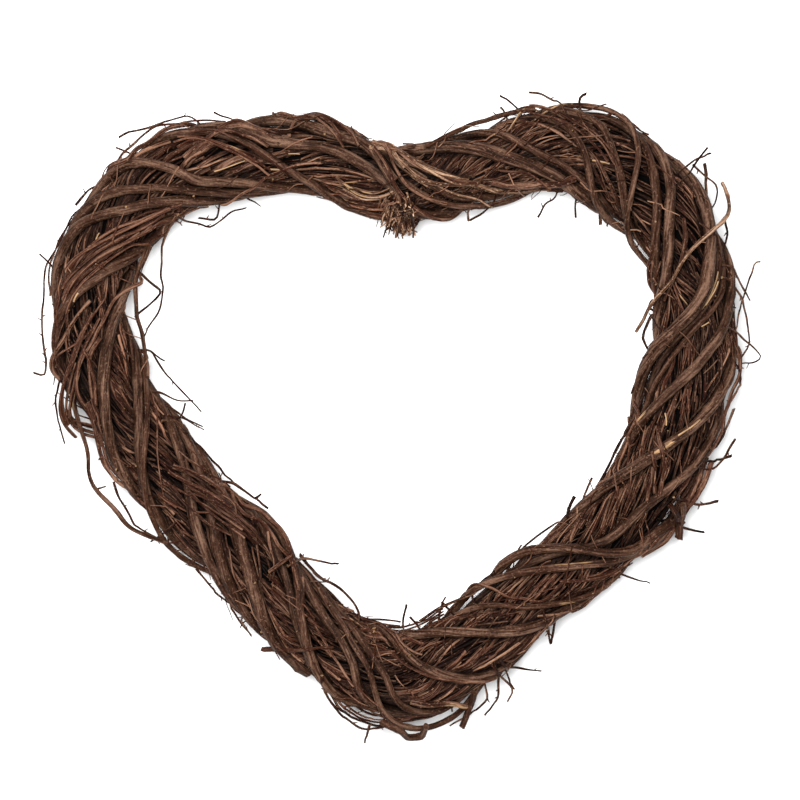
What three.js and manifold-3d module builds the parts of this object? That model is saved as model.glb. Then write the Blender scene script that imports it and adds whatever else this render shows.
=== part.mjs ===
// Heart wreath: a bundle of fine twigs bent round in a heart and bound by longer
// vines wound round it in a right-handed helix. Millimetres, lying flat, +Z up.
// The notch points to +Y, the tip to -Y.
import * as THREE from 'three';
import { mergeVertices } from 'three/addons/utils/BufferGeometryUtils.js';
import Module from 'manifold-3d';

const wasm = await Module();
wasm.setup();

// ---- driving sizes ----------------------------------------------------------
const HEIGHT_SHARE = 0.9;     // height of the bundle as a share of its width
const BUNDLE_SHARE = 0.72;    // radius of the twig bundle as a share of the half width
const BUNDLE_CLEAR = 7.0;     // bundle's underside above the table
const SETTLE = 1.3;           // the left limb lies this much lower, its vines being thinner
const GAP = 0.9;              // least space between two branches along their axes
const OBLIQUE = 1.22;         // a wound branch is this much wider across than along
const MM_PER_DEGREE = 0.57;   // run along the heart per degree of wrap on the unseen side
const CELL = 2;               // spacing of the samples along a branch
const STEP = 15;              // length of one facet along a branch
const BUNDLE_STEPS = 88;
const BUNDLE_SIDES = 12;
const BUNDLE_TURNS = 2;       // turns of the bundle's own left-hand lay round the heart
const BUNDLE_RIDGE = 0.07;    // depth of its ridges as a share of the radius
const TO_CENTRE = [-0.905, 3.783]; // moves the middle of the outline to the origin

// Stations of the bundle's centreline, clockwise from the notch: x, y, half width.
const STATIONS = [
  [4.3, 117.7, 19.5],    // notch
  [49.0, 129.6, 19.5],
  [94.5, 134.8, 23.0],   // top of the right lobe
  [135.4, 112.3, 22.1],
  [155.6, 71.4, 20.1],
  [155.4, 24.9, 22.2],   // widest on the right
  [142.6, -19.6, 22.1],
  [116.1, -57.8, 21.5],
  [80.9, -88.3, 18.7],
  [45.7, -118.1, 20.1],
  [3.2, -136.0, 22.6],   // tip
  [-37.9, -114.6, 20.8],
  [-70.5, -81.9, 21.8],
  [-102.9, -48.3, 20.6],
  [-131.7, -12.0, 19.9],
  [-153.3, 29.2, 20.8],
  [-155.5, 74.8, 20.1],  // widest on the left
  [-128.5, 112.5, 21.2],
  [-86.1, 130.7, 21.1],  // top of the left lobe
  [-40.0, 132.3, 18.2],
];

// The wound vines, in the order they were laid. Each has the degrees it runs on the
// unseen side before its first and after its last pass over the front, then its passes:
// [where it comes over the outer side, where it goes under the inner side, radius,
// and where it doesn't turn evenly, places on the way as [distance, degrees]],
// and its slack bows: [where, height, half length]. Distances run along the heart.
const VINES = [
  ['vine_01_thick', 40, 130, [[-404, -326, 3.4], [-175, -113, 2.7, [[-150, 0]]], [49, 112, 2.0, [[72, 0]]]], []],
  ['vine_02_long', 60, 95, [[-376, -308, 2.7], [-160, -97, 2.5, [[-134, 0]]], [79, 115, 1.9]], []],
  ['vine_03_long', 60, 120, [[-362, -290, 2.7], [-139, -74, 2.5, [[-120, 8], [-110, -19], [-94, -36]]],
    [96, 138, 2.0, [[116, 0]]]], [[-134, 2.1, 23], [101, 2.6, 26]]],
  ['vine_04_long', 70, 100, [[-313, -250, 2.7], [-101, -44, 2.2], [118, 172, 2.4, [[141, 0]]]],
    [[-123, 2.6, 26], [112, 2.1, 21]]],
  ['vine_05_long', 90, 60, [[-284, -208, 3.1], [-90, 8, 2.7, [[-79, 36], [-66, 21], [-47, 20], [-28, 19], [-12, 10], [-4, -4]]],
    [130, 190, 2.9, [[153, 0]]]], []],
  ['vine_06_long', 110, 110, [[-217, -170, 3.0], [-4, 31, 1.9], [183, 234, 1.7, [[207, 0]]]], []],
  ['vine_07_right', 100, 120, [[162, 229, 3.5, [[187, 22], [200, 0]]], [382, 439, 2.6]], []],
  ['vine_08_thick', 80, 90, [[24, 93, 3.3], [242, 315, 3.0, [[274, 0]]], [473, 545, 2.4, [[492, 0], [512, -24]]]], []],
  ['vine_09_thin', 100, 70, [[-16, 23, 1.7], [194, 242, 1.4, [[214, 0]]]], []],
  ['vine_10_light', 120, 90, [[4, 47, 1.5]], []],
  ['vine_11_thick', 70, 130, [[204, 267, 2.6], [427, 470, 2.5]], []],
  ['vine_12_wide', 90, 60, [[276, 374, 2.4, [[312, 12], [333, 7], [420, -122]]],
    [502, 564, 2.3, [[528, 0]]]], [[460, 1.6, 21]]],
  ['vine_13_branchy', 120, 80, [[319, 371, 2.5, [[412, -150]]], [494, 554, 2.2, [[523, 0]]]], [[292, 3.1, 26]]],
  ['vine_14_side', 110, 85, [[329, 387, 2.0]], []],
  ['vine_15_thin', 85, 110, [[368, 409, 1.5, [[390, 0]]]], []],
  ['vine_16_tip', 100, 100, [[460, 512, 1.8, [[472, 0], [484, -21]]]], [[448, 3.1, 21]]],
  ['vine_17_tip', 110, 120, [[465, 530, 1.6, [[481, 0], [497, -21]]]], [[460, 4.2, 23]]],
  ['vine_18_thin', 110, 100, [[615, 674, 1.4]], []],
  ['vine_19_bundle', 90, 100, [[730, 786, 1.5]], []],
  ['vine_20_thin', 100, 100, [[112, 141, 1.5]], [[101, 0.9, 31]]],
];

// The shoot that ends at the notch, and slack lengths and cut ends that stand off the
// wreath: [distance along, degrees round],
// radius at both ends, and how far each point stands off.
const LOOSE = [
  ['notch_vine', [[-104, 160], [-47, 60], [-27, 44], [-12, 22], [-3, 4]], 3.2, 2.9, [0, 0, 0, 0, 0]],
  ['arch_over_right_lobe', [[19, 46], [28, 50], [38, 57], [48, 79], [59, 84], [68, 84], [75, 77]], 1.2, 1.5,
    [0, 0, 0, 0, 0.1, 0.1, 0]],
  ['light_shoot', [[153, 110], [163, 82], [172, 10], [189, -38], [208, -84], [218, -96]], 1.1, 0.8, [13, 5, 0.5, 0.5, 3, 7]],
  ['left_inner_loop', [[676, -58], [685, -75], [701, -84], [714, -84], [729, -84], [754, -74], [776, -58]], 1.0, 1.2,
    [0, 0, 2.3, 3.8, 1.2, 0, 0]],
  ['left_outer_loop', [[600, 50], [625, 78], [650, 86], [675, 74], [700, 20]], 1.2, 1.0, [2, 8, 11, 6, 1]],
  ['tip_loop', [[457, 53], [459, 74], [462, 80], [464, 59], [470, 46]], 1.6, 1.9, [0, 0, 0, 0, 0]],
  ['tip_stub', [[434, 60], [439, 84], [446, 84]], 1.7, 1.5, [0, 2.6, 10.6]],
  ['right_stub', [[298, 49], [304, 70], [311, 84]], 1.9, 1.7, [0, 0, 3.9]],
];

// ---- small helpers ------------------------------------------------------------
const RAD = Math.PI / 180;

function spline(rows, t) {              // closed curve through the rows
  const n = rows.length;
  const i = Math.floor(t), f = t - i;
  const row = (k) => rows[((i + k) % n + n) % n];
  const [a, b, c, d] = [row(-1), row(0), row(1), row(2)];
  return b.map((_, j) => 0.5 * (2 * b[j] + (c[j] - a[j]) * f
    + (2 * a[j] - 5 * b[j] + 4 * c[j] - d[j]) * f * f
    + (3 * b[j] - a[j] - 3 * c[j] + d[j]) * f * f * f));
}

function lookup(xs, ys, x) {            // straight lines between rising xs
  if (x <= xs[0]) return ys[0];
  if (x >= xs[xs.length - 1]) return ys[ys.length - 1];
  let lo = 0, hi = xs.length - 1;
  while (hi - lo > 1) { const m = (lo + hi) >> 1; if (xs[m] <= x) lo = m; else hi = m; }
  return ys[lo] + (ys[hi] - ys[lo]) * (x - xs[lo]) / (xs[hi] - xs[lo]);
}

function smooth(xs, ys) {               // rounded curve that never overshoots its points
  const n = xs.length, h = [], m = [];
  for (let i = 0; i < n - 1; i++) { h.push(xs[i + 1] - xs[i]); m.push((ys[i + 1] - ys[i]) / h[i]); }
  const d = ys.map((_, i) => {
    if (i === 0) return m[0];
    if (i === n - 1) return m[n - 2];
    if (m[i - 1] * m[i] <= 0) return 0;
    const w1 = 2 * h[i] + h[i - 1], w2 = h[i] + 2 * h[i - 1];
    return (w1 + w2) / (w1 / m[i - 1] + w2 / m[i]);
  });
  return (x) => {
    let i = 0;
    while (i < n - 2 && x > xs[i + 1]) i++;
    const t = Math.min(1, Math.max(0, (x - xs[i]) / h[i]));
    const t2 = t * t, t3 = t2 * t;
    return ys[i] * (2 * t3 - 3 * t2 + 1) + h[i] * d[i] * (t3 - 2 * t2 + t)
      + ys[i + 1] * (3 * t2 - 2 * t3) + h[i] * d[i + 1] * (t3 - t2);
  };
}

// ---- the heart ------------------------------------------------------------------
const FINE = 4000;
const run = [0];
{
  let p = spline(STATIONS, 0);
  for (let i = 1; i <= FINE; i++) {
    const q = spline(STATIONS, i / FINE * STATIONS.length);
    run.push(run[i - 1] + Math.hypot(q[0] - p[0], q[1] - p[1]));
    p = q;
  }
}
const AROUND = run[FINE];               // length of the centreline
const params = run.map((_, i) => i / FINE * STATIONS.length);

function heart(s) {                     // point, half width and outward direction
  const t = lookup(run, params, ((s % AROUND) + AROUND) % AROUND);
  const [x, y, half] = spline(STATIONS, t);
  const a = spline(STATIONS, t - 0.02), b = spline(STATIONS, t + 0.02);
  const l = Math.hypot(b[0] - a[0], b[1] - a[1]);
  return { x, y, half, ox: -(b[1] - a[1]) / l, oy: (b[0] - a[0]) / l };
}

function around(s, degrees, radius) {   // a point off the centreline; 0 is the front
  const h = heart(s);
  const out = radius * Math.sin(degrees * RAD);
  const low = BUNDLE_CLEAR - SETTLE * Math.max(0, -Math.sin(2 * Math.PI * s / AROUND));
  const middle = low + HEIGHT_SHARE * BUNDLE_SHARE * h.half;
  return new THREE.Vector3(h.x + h.ox * out + TO_CENTRE[0], h.y + h.oy * out + TO_CENTRE[1],
    middle + HEIGHT_SHARE * radius * Math.cos(degrees * RAD));
}

// ---- laying the vines -----------------------------------------------------------
const laid = [];

function lay(name, angle, radius, from, to, standOff) {
  const n = Math.round((to - from) / CELL) + 1;
  const v = { name, from, to, n, s: [], angle: [], radius: [], off: [] };
  const need = [];
  for (let i = 0; i < n; i++) {
    const s = from + (to - from) * i / (n - 1);
    const a = angle(s), r = radius(s);
    v.s.push(s); v.angle.push(a); v.radius.push(r);
    let rho = BUNDLE_SHARE * heart(s).half + GAP + r;
    for (const u of laid) {
      for (let lap = -2; lap <= 2; lap++) {
        const su = s + lap * AROUND;
        if (su < u.from - 4 || su > u.to + 4) continue;
        const f = Math.min(u.n - 1, Math.max(0, (su - u.from) / (u.to - u.from) * (u.n - 1)));
        const k = Math.min(u.n - 2, Math.floor(f)), g = f - k;
        const mix = (w) => w[k] + (w[k + 1] - w[k]) * g;
        const turn = (a - mix(u.angle)) * RAD, far = mix(u.off);
        if (Math.cos(turn) < 0.3) continue;
        const clear = r + mix(u.radius) + GAP;
        const side = far * Math.sin(turn) / OBLIQUE;
        if (Math.abs(side) < clear) {
          rho = Math.max(rho, far * Math.cos(turn) + Math.sqrt(clear * clear - side * side));
        }
      }
    }
    need.push(rho);
  }
  const reach = 5;                      // ease over what it crosses
  let off = need.map((_, i) => Math.max(...need.slice(Math.max(0, i - reach), i + reach + 1)));
  for (let pass = 0; pass < 2; pass++) {
    off = off.map((_, i) => {
      let sum = 0, count = 0;
      for (let k = Math.max(0, i - 2); k <= Math.min(n - 1, i + 2); k++) { sum += off[k]; count++; }
      return sum / count;
    });
  }
  v.off = off.map((o, i) => o + standOff(v.s[i]));
  laid.push(v);
  return v;
}

class Lie extends THREE.Curve {         // the line a laid vine follows
  constructor(v) {
    super();
    this.v = v;
    this.arcLengthDivisions = 400;
    this.points = v.s.map((s, i) => around(s, v.angle[i], v.off[i]));
  }
  getPoint(t, target = new THREE.Vector3()) {
    const f = t * (this.points.length - 1);
    const i = Math.min(this.points.length - 2, Math.floor(f));
    return target.lerpVectors(this.points[i], this.points[i + 1], f - i);
  }
}

function toSolid(geometry) {
  geometry.deleteAttribute('normal');
  geometry.deleteAttribute('uv');
  const g = mergeVertices(geometry, 1e-4);
  return new wasm.Manifold(new wasm.Mesh({
    numProp: 3,
    vertProperties: new Float32Array(g.attributes.position.array),
    triVerts: new Uint32Array(g.index.array),
  }));
}

function fromSolid(solid) {
  const m = solid.getMesh();
  const g = new THREE.BufferGeometry();
  g.setAttribute('position', new THREE.BufferAttribute(new Float32Array(m.vertProperties), 3));
  g.setIndex(new THREE.BufferAttribute(new Uint32Array(m.triVerts), 1));
  g.computeVertexNormals();
  return g;
}

const aboveTable = new THREE.BoxGeometry(600, 600, 200);
aboveTable.translate(0, 0, 100);
const clip = toSolid(aboveTable);

function branch(v) {                    // a tapering length of vine, flat where it lies on the table
  const curve = new Lie(v);
  const steps = Math.max(4, Math.round(curve.getLength() / STEP));
  const sides = Math.max(...v.radius) > 1.8 ? 6 : 5;
  const section = new THREE.Shape();
  for (let k = 0; k < sides; k++) {
    const a = (k + 0.5) / sides * 2 * Math.PI;
    if (k) section.lineTo(Math.cos(a), Math.sin(a)); else section.moveTo(Math.cos(a), Math.sin(a));
  }
  section.closePath();
  const g = new THREE.ExtrudeGeometry(section, { steps, extrudePath: curve, bevelEnabled: false, curveSegments: 1 });
  const rings = curve.getSpacedPoints(steps);
  const radii = rings.map((_, i) => {
    const f = curve.getUtoTmapping(i / steps) * (v.n - 1);
    return v.radius[Math.min(v.n - 1, Math.round(f))];
  });
  const pos = g.attributes.position, p = new THREE.Vector3();
  for (let i = 0; i < pos.count; i++) {
    p.fromBufferAttribute(pos, i);
    let best = 0;
    rings.forEach((c, k) => { if (c.distanceToSquared(p) < rings[best].distanceToSquared(p)) best = k; });
    p.sub(rings[best]).multiplyScalar(radii[best]).add(rings[best]);
    pos.setXYZ(i, p.x, p.y, p.z);
  }
  return fromSolid(toSolid(g).intersect(clip));
}

// ---- the twig bundle ------------------------------------------------------------
class Ring extends THREE.Curve {
  getPoint(t, target = new THREE.Vector3()) {
    return target.copy(around(t * AROUND, 0, 0));
  }
}

function bundle() {
  const g = new THREE.TubeGeometry(new Ring(), BUNDLE_STEPS, 1, BUNDLE_SIDES, true);
  const pos = g.attributes.position;
  for (let j = 0; j <= BUNDLE_STEPS; j++) {
    const s = (j % BUNDLE_STEPS) / BUNDLE_STEPS * AROUND;
    for (let k = 0; k <= BUNDLE_SIDES; k++) {
      const ridge = k % 3 === 0 ? 1 : 1 - BUNDLE_RIDGE;
      const degrees = (k % BUNDLE_SIDES) / BUNDLE_SIDES * 360 + BUNDLE_TURNS * 360 * s / AROUND;
      const p = around(s, degrees, BUNDLE_SHARE * heart(s).half * ridge);
      pos.setXYZ(j * (BUNDLE_SIDES + 1) + k, p.x, p.y, p.z);
    }
  }
  g.deleteAttribute('normal');
  g.deleteAttribute('uv');
  const m = mergeVertices(g, 1e-4);
  const a = new THREE.Vector3(), b = new THREE.Vector3(), c = new THREE.Vector3();
  let volume = 0;
  for (let i = 0; i < m.index.count; i += 3) {
    a.fromBufferAttribute(m.attributes.position, m.index.getX(i));
    b.fromBufferAttribute(m.attributes.position, m.index.getX(i + 1));
    c.fromBufferAttribute(m.attributes.position, m.index.getX(i + 2));
    volume += a.dot(b.cross(c)) / 6;
  }
  if (volume < 0) {
    const index = m.index.array;
    for (let i = 0; i < index.length; i += 3) [index[i], index[i + 1]] = [index[i + 1], index[i]];
  }
  m.computeVertexNormals();
  return m;
}

// ---- the wreath -----------------------------------------------------------------
const wreath = new THREE.Group();

function add(name, geometry, colour) {
  const mesh = new THREE.Mesh(geometry, new THREE.MeshStandardMaterial({ color: colour, roughness: 0.85, metalness: 0 }));
  mesh.name = name;
  wreath.add(mesh);
}

add('inner_bundle', bundle(), 0x3a2419);

const BARK = [0x5c483c, 0x54402f, 0x604b3d, 0x4f3a2e];

VINES.forEach(([name, lead, tail, passes, bows], i) => {
  const last = passes.length - 1;
  const knots = [[passes[0][0] - lead * MM_PER_DEGREE, 60 + lead],
    [passes[last][1] + tail * MM_PER_DEGREE, -60 - 360 * last - tail]];
  passes.forEach(([over, under, , marks = []], k) => {
    [[over, 60], [under, -60], ...marks].forEach(([where, degrees]) => knots.push([where, degrees - 360 * k]));
  });
  knots.sort((p, q) => p[0] - q[0]);
  const at = knots.map((p) => p[0]), turn = knots.map((p) => p[1]);
  const mids = passes.map(([over, under]) => (over + under) / 2);
  const radius = (s) => lookup(mids, passes.map((p) => p[2]), s);
  const bow = (s) => bows.reduce((sum, [where, high, half]) => sum + high * Math.exp(-(((s - where) / half) ** 2)), 0);
  const v = lay(name, smooth(at, turn), radius, at[0], at[at.length - 1], bow);
  add(name, branch(v), BARK[i % BARK.length]);
});

LOOSE.forEach(([name, points, r0, r1, stand], i) => {
  const down = points[0][0] > points[points.length - 1][0];
  const rows = down ? [...points].reverse() : points;
  const offs = down ? [...stand].reverse() : stand;
  const at = rows.map((p) => p[0]), turn = rows.map((p) => p[1]);
  const ends = down ? [r1, r0] : [r0, r1];
  const span = [at[0], at[at.length - 1]];
  const v = lay(name, smooth(at, turn), (s) => lookup(span, ends, s), span[0], span[1], smooth(at, offs));
  add(name, branch(v), BARK[(i + 1) % BARK.length]);
});

export default wreath;
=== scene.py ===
"""Looks of the heart wreath: bark, fine twigs, stray shoots and cut ends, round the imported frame."""
import math

import bpy
import numpy as np
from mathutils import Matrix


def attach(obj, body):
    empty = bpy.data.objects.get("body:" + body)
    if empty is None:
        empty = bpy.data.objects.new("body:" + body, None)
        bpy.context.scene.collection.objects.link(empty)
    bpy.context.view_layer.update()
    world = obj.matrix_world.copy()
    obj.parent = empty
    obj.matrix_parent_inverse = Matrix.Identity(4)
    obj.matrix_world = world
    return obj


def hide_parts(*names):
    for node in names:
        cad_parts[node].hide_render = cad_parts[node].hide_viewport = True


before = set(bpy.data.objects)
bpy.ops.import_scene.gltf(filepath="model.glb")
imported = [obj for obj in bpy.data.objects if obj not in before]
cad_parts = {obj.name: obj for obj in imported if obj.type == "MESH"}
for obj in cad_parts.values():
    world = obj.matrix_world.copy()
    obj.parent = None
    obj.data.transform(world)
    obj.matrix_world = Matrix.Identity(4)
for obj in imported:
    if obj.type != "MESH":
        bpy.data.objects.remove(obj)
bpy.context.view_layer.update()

MM = 0.001
RAD = math.pi / 180
rng = np.random.default_rng(20)

# ---- sizes of the frame, in millimetres, as the frame was made ------------------------
HEIGHT_SHARE = 0.9
BUNDLE_SHARE = 0.72
BUNDLE_CLEAR = 7.0
SETTLE = 1.3
GAP = 0.9
OBLIQUE = 1.22
MM_PER_DEGREE = 0.57
CELL = 2
TO_CENTRE = (-0.905, 3.783)

STATIONS = np.array([
    (4.3, 117.7, 19.5), (49.0, 129.6, 19.5), (94.5, 134.8, 23.0), (135.4, 112.3, 22.1),
    (155.6, 71.4, 20.1), (155.4, 24.9, 22.2), (142.6, -19.6, 22.1), (116.1, -57.8, 21.5),
    (80.9, -88.3, 18.7), (45.7, -118.1, 20.1), (3.2, -136.0, 22.6), (-37.9, -114.6, 20.8),
    (-70.5, -81.9, 21.8), (-102.9, -48.3, 20.6), (-131.7, -12.0, 19.9), (-153.3, 29.2, 20.8),
    (-155.5, 74.8, 20.1), (-128.5, 112.5, 21.2), (-86.1, 130.7, 21.1), (-40.0, 132.3, 18.2)])

VINES = [
    ("vine_01_thick", 40, 130,
     [(-404, -326, 3.4), (-175, -113, 2.7, ((-150, 0),)), (49, 112, 2, ((72, 0),))],
     []),
    ("vine_02_long", 60, 95, [(-376, -308, 2.7), (-160, -97, 2.5, ((-134, 0),)), (79, 115, 1.9)],
     []),
    ("vine_03_long", 60, 120,
     [(-362, -290, 2.7), (-139, -74, 2.5, ((-120, 8), (-110, -19), (-94, -36))), (96, 138, 2, ((116, 0),))],
     [(-134, 2.1, 23), (101, 2.6, 26)]),
    ("vine_04_long", 70, 100, [(-313, -250, 2.7), (-101, -44, 2.2), (118, 172, 2.4, ((141, 0),))],
     [(-123, 2.6, 26), (112, 2.1, 21)]),
    ("vine_05_long", 90, 60,
     [(-284, -208, 3.1), (-90, 8, 2.7, ((-79, 36), (-66, 21), (-47, 20), (-28, 19), (-12, 10), (-4, -4))), (130, 190, 2.9, ((153, 0),))],
     []),
    ("vine_06_long", 110, 110, [(-217, -170, 3), (-4, 31, 1.9), (183, 234, 1.7, ((207, 0),))], []),
    ("vine_07_right", 100, 120, [(162, 229, 3.5, ((187, 22), (200, 0))), (382, 439, 2.6)], []),
    ("vine_08_thick", 80, 90,
     [(24, 93, 3.3), (242, 315, 3, ((274, 0),)), (473, 545, 2.4, ((492, 0), (512, -24)))],
     []),
    ("vine_09_thin", 100, 70, [(-16, 23, 1.7), (194, 242, 1.4, ((214, 0),))], []),
    ("vine_10_light", 120, 90, [(4, 47, 1.5)], []),
    ("vine_11_thick", 70, 130, [(204, 267, 2.6), (427, 470, 2.5)], []),
    ("vine_12_wide", 90, 60,
     [(276, 374, 2.4, ((312, 12), (333, 7), (420, -122))), (502, 564, 2.3, ((528, 0),))],
     [(460, 1.6, 21)]),
    ("vine_13_branchy", 120, 80, [(319, 371, 2.5, ((412, -150),)), (494, 554, 2.2, ((523, 0),))],
     [(292, 3.1, 26)]),
    ("vine_14_side", 110, 85, [(329, 387, 2)], []),
    ("vine_15_thin", 85, 110, [(368, 409, 1.5, ((390, 0),))], []),
    ("vine_16_tip", 100, 100, [(460, 512, 1.8, ((472, 0), (484, -21)))], [(448, 3.1, 21)]),
    ("vine_17_tip", 110, 120, [(465, 530, 1.6, ((481, 0), (497, -21)))], [(460, 4.2, 23)]),
    ("vine_18_thin", 110, 100, [(615, 674, 1.4)], []),
    ("vine_19_bundle", 90, 100, [(730, 786, 1.5)], []),
    ("vine_20_thin", 100, 100, [(112, 141, 1.5)], [(101, 0.9, 31)]),
]
LOOSE = [
    ("notch_vine", [(-104, 160), (-47, 60), (-27, 44), (-12, 22), (-3, 4)], 3.2, 2.9, (0, 0, 0, 0, 0)),
    ("arch_over_right_lobe", [(19, 46), (28, 50), (38, 57), (48, 79), (59, 84), (68, 84), (75, 77)], 1.2, 1.5,
     (0, 0, 0, 0, 0.1, 0.1, 0)),
    ("light_shoot", [(153, 110), (163, 82), (172, 10), (189, -38), (208, -84), (218, -96)], 1.1, 0.8,
     (13, 5, 0.5, 0.5, 3, 7)),
    ("left_inner_loop", [(676, -58), (685, -75), (701, -84), (714, -84), (729, -84), (754, -74), (776, -58)], 1.0, 1.2,
     (0, 0, 2.3, 3.8, 1.2, 0, 0)),
    ("left_outer_loop", [(600, 50), (625, 78), (650, 86), (675, 74), (700, 20)], 1.2, 1.0,
     (2, 8, 11, 6, 1)),
    ("tip_loop", [(457, 53), (459, 74), (462, 80), (464, 59), (470, 46)], 1.6, 1.9, (0, 0, 0, 0, 0)),
    ("tip_stub", [(434, 60), (439, 84), (446, 84)], 1.7, 1.5, (0, 2.6, 10.6)),
    ("right_stub", [(298, 49), (304, 70), (311, 84)], 1.9, 1.7, (0, 0, 3.9)),
]


# ---- the heart, as the frame draws it ---------------------------------------------------
def spline(rows, t):
    t = np.asarray(t, float)
    n = len(rows)
    i = np.floor(t).astype(int)
    f = (t - i)[..., None]
    a, b, c, d = (rows[(i + k) % n] for k in (-1, 0, 1, 2))
    return 0.5 * (2 * b + (c - a) * f + (2 * a - 5 * b + 4 * c - d) * f * f
                  + (3 * b - a - 3 * c + d) * f * f * f)


FINE = 4000
_params = np.arange(FINE + 1) / FINE * len(STATIONS)
_dense = spline(STATIONS, _params)
_run = np.r_[0, np.cumsum(np.hypot(*np.diff(_dense[:, :2], axis=0).T))]
AROUND = float(_run[-1])


def heart(s):
    """Point, half width and outward direction at distance s along the centreline."""
    t = np.interp(np.mod(s, AROUND), _run, _params)
    p = spline(STATIONS, t)
    g = spline(STATIONS, t + 0.02)[..., :2] - spline(STATIONS, t - 0.02)[..., :2]
    g /= np.linalg.norm(g, axis=-1, keepdims=True)
    return p[..., 0], p[..., 1], p[..., 2], -g[..., 1], g[..., 0]


def middle(s, half):
    low = BUNDLE_CLEAR - SETTLE * np.maximum(0, -np.sin(2 * np.pi * np.asarray(s) / AROUND))
    return low + HEIGHT_SHARE * BUNDLE_SHARE * half


def around(s, degrees, radius):
    """Points off the centreline; 0 degrees is the front, 90 the outer side."""
    x, y, half, ox, oy = heart(s)
    a = np.asarray(degrees) * RAD
    out = radius * np.sin(a)
    z = middle(s, half) + HEIGHT_SHARE * radius * np.cos(a)
    return np.stack([x + ox * out + TO_CENTRE[0], y + oy * out + TO_CENTRE[1], z + 0 * out], -1)


def radial(s, degrees):
    """Unit direction straight out of the bundle at that place."""
    _, _, _, ox, oy = heart(s)
    a = np.asarray(degrees) * RAD
    v = np.stack([ox * np.sin(a), oy * np.sin(a), np.cos(a) + 0 * ox], -1)
    return v / np.linalg.norm(v, axis=-1, keepdims=True)


def smooth(xs, ys):
    xs, ys = np.asarray(xs, float), np.asarray(ys, float)
    n = len(xs)
    h = np.diff(xs)
    m = np.diff(ys) / h
    d = np.zeros(n)
    d[0], d[-1] = m[0], m[-1]
    for i in range(1, n - 1):
        if m[i - 1] * m[i] > 0:
            w1, w2 = 2 * h[i] + h[i - 1], h[i] + 2 * h[i - 1]
            d[i] = (w1 + w2) / (w1 / m[i - 1] + w2 / m[i])

    def f(x):
        x = np.asarray(x, float)
        i = np.clip(np.searchsorted(xs, x, side="left") - 1, 0, n - 2)
        t = np.clip((x - xs[i]) / h[i], 0, 1)
        t2, t3 = t * t, t * t * t
        return (ys[i] * (2 * t3 - 3 * t2 + 1) + h[i] * d[i] * (t3 - 2 * t2 + t)
                + ys[i + 1] * (3 * t2 - 2 * t3) + h[i] * d[i + 1] * (t3 - t2))
    return f


# ---- laying the vines, as the frame lays them ---------------------------------------------
laid = []


def over(s, a, r, others, gap, rho):
    """How far out a branch of radius r has to lie to pass over the others."""
    for u in others:
        for lap in range(-2, 3):
            su = s + lap * AROUND
            hit = (su >= u["from"] - 4) & (su <= u["to"] + 4)
            if not hit.any():
                continue
            f = np.clip((su - u["from"]) / (u["to"] - u["from"]) * (u["n"] - 1), 0, u["n"] - 1)
            k = np.minimum(u["n"] - 2, np.floor(f).astype(int))
            g = f - k
            mix = lambda w: w[k] + (w[k + 1] - w[k]) * g
            turn = (a - mix(u["angle"])) * RAD
            far = mix(u["off"])
            clear = r + mix(u["radius"]) + gap
            side = far * np.sin(turn) / OBLIQUE
            hit &= (np.cos(turn) >= 0.3) & (np.abs(side) < clear)
            lift = far * np.cos(turn) + np.sqrt(np.maximum(clear * clear - side * side, 0))
            rho = np.where(hit, np.maximum(rho, lift), rho)
    return rho


def ease(need, reach=5, passes=2):
    n = len(need)
    off = np.array([need[max(0, i - reach):i + reach + 1].max() for i in range(n)])
    for _ in range(passes):
        off = np.array([off[max(0, i - 2):i + 3].mean() for i in range(n)])
    return off


def lay(name, angle, radius, start, end, stand_off, share=BUNDLE_SHARE, gap=GAP, keep=laid):
    n = int(math.floor((end - start) / CELL + 0.5)) + 1
    s = start + (end - start) * np.arange(n) / (n - 1)
    a, r = angle(s), radius(s)
    rho = share * heart(s)[2] + gap + r
    rho = over(s, a, r, laid if keep is laid else laid + keep, gap, rho)
    off = ease(rho) + stand_off(s)
    v = {"name": name, "from": start, "to": end, "n": n, "s": s, "angle": a, "radius": r, "off": off}
    keep.append(v)
    return v


def lay_vine(row, **kw):
    name, lead, tail, passes, bows = row
    last = len(passes) - 1
    knots = [(passes[0][0] - lead * MM_PER_DEGREE, 60 + lead),
             (passes[last][1] + tail * MM_PER_DEGREE, -60 - 360 * last - tail)]
    for k, (into, out, _, *marks) in enumerate(passes):
        for where, degrees in ((into, 60), (out, -60), *(marks[0] if marks else ())):
            knots.append((where, degrees - 360 * k))
    at, turn = zip(*sorted(knots))
    mids = [(p[0] + p[1]) / 2 for p in passes]
    radii = [p[2] for p in passes]

    def bow(s):
        return sum((high * np.exp(-(((s - where) / half) ** 2)) for where, high, half in bows), np.zeros_like(s))
    return lay(name, smooth(at, turn), lambda s: np.interp(s, mids, radii), at[0], at[-1], bow, **kw)


def lay_loose(row, **kw):
    name, points, r0, r1, stand = row
    points, stand, ends = list(points), list(stand), [r0, r1]
    if points[0][0] > points[-1][0]:
        points, stand, ends = points[::-1], stand[::-1], ends[::-1]
    at = [p[0] for p in points]
    span = [at[0], at[-1]]
    return lay(name, smooth(at, [p[1] for p in points]), lambda s: np.interp(s, span, ends),
               span[0], span[1], smooth(at, stand), **kw)


for row in VINES:
    lay_vine(row)
for row in LOOSE:
    lay_loose(row)


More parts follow.
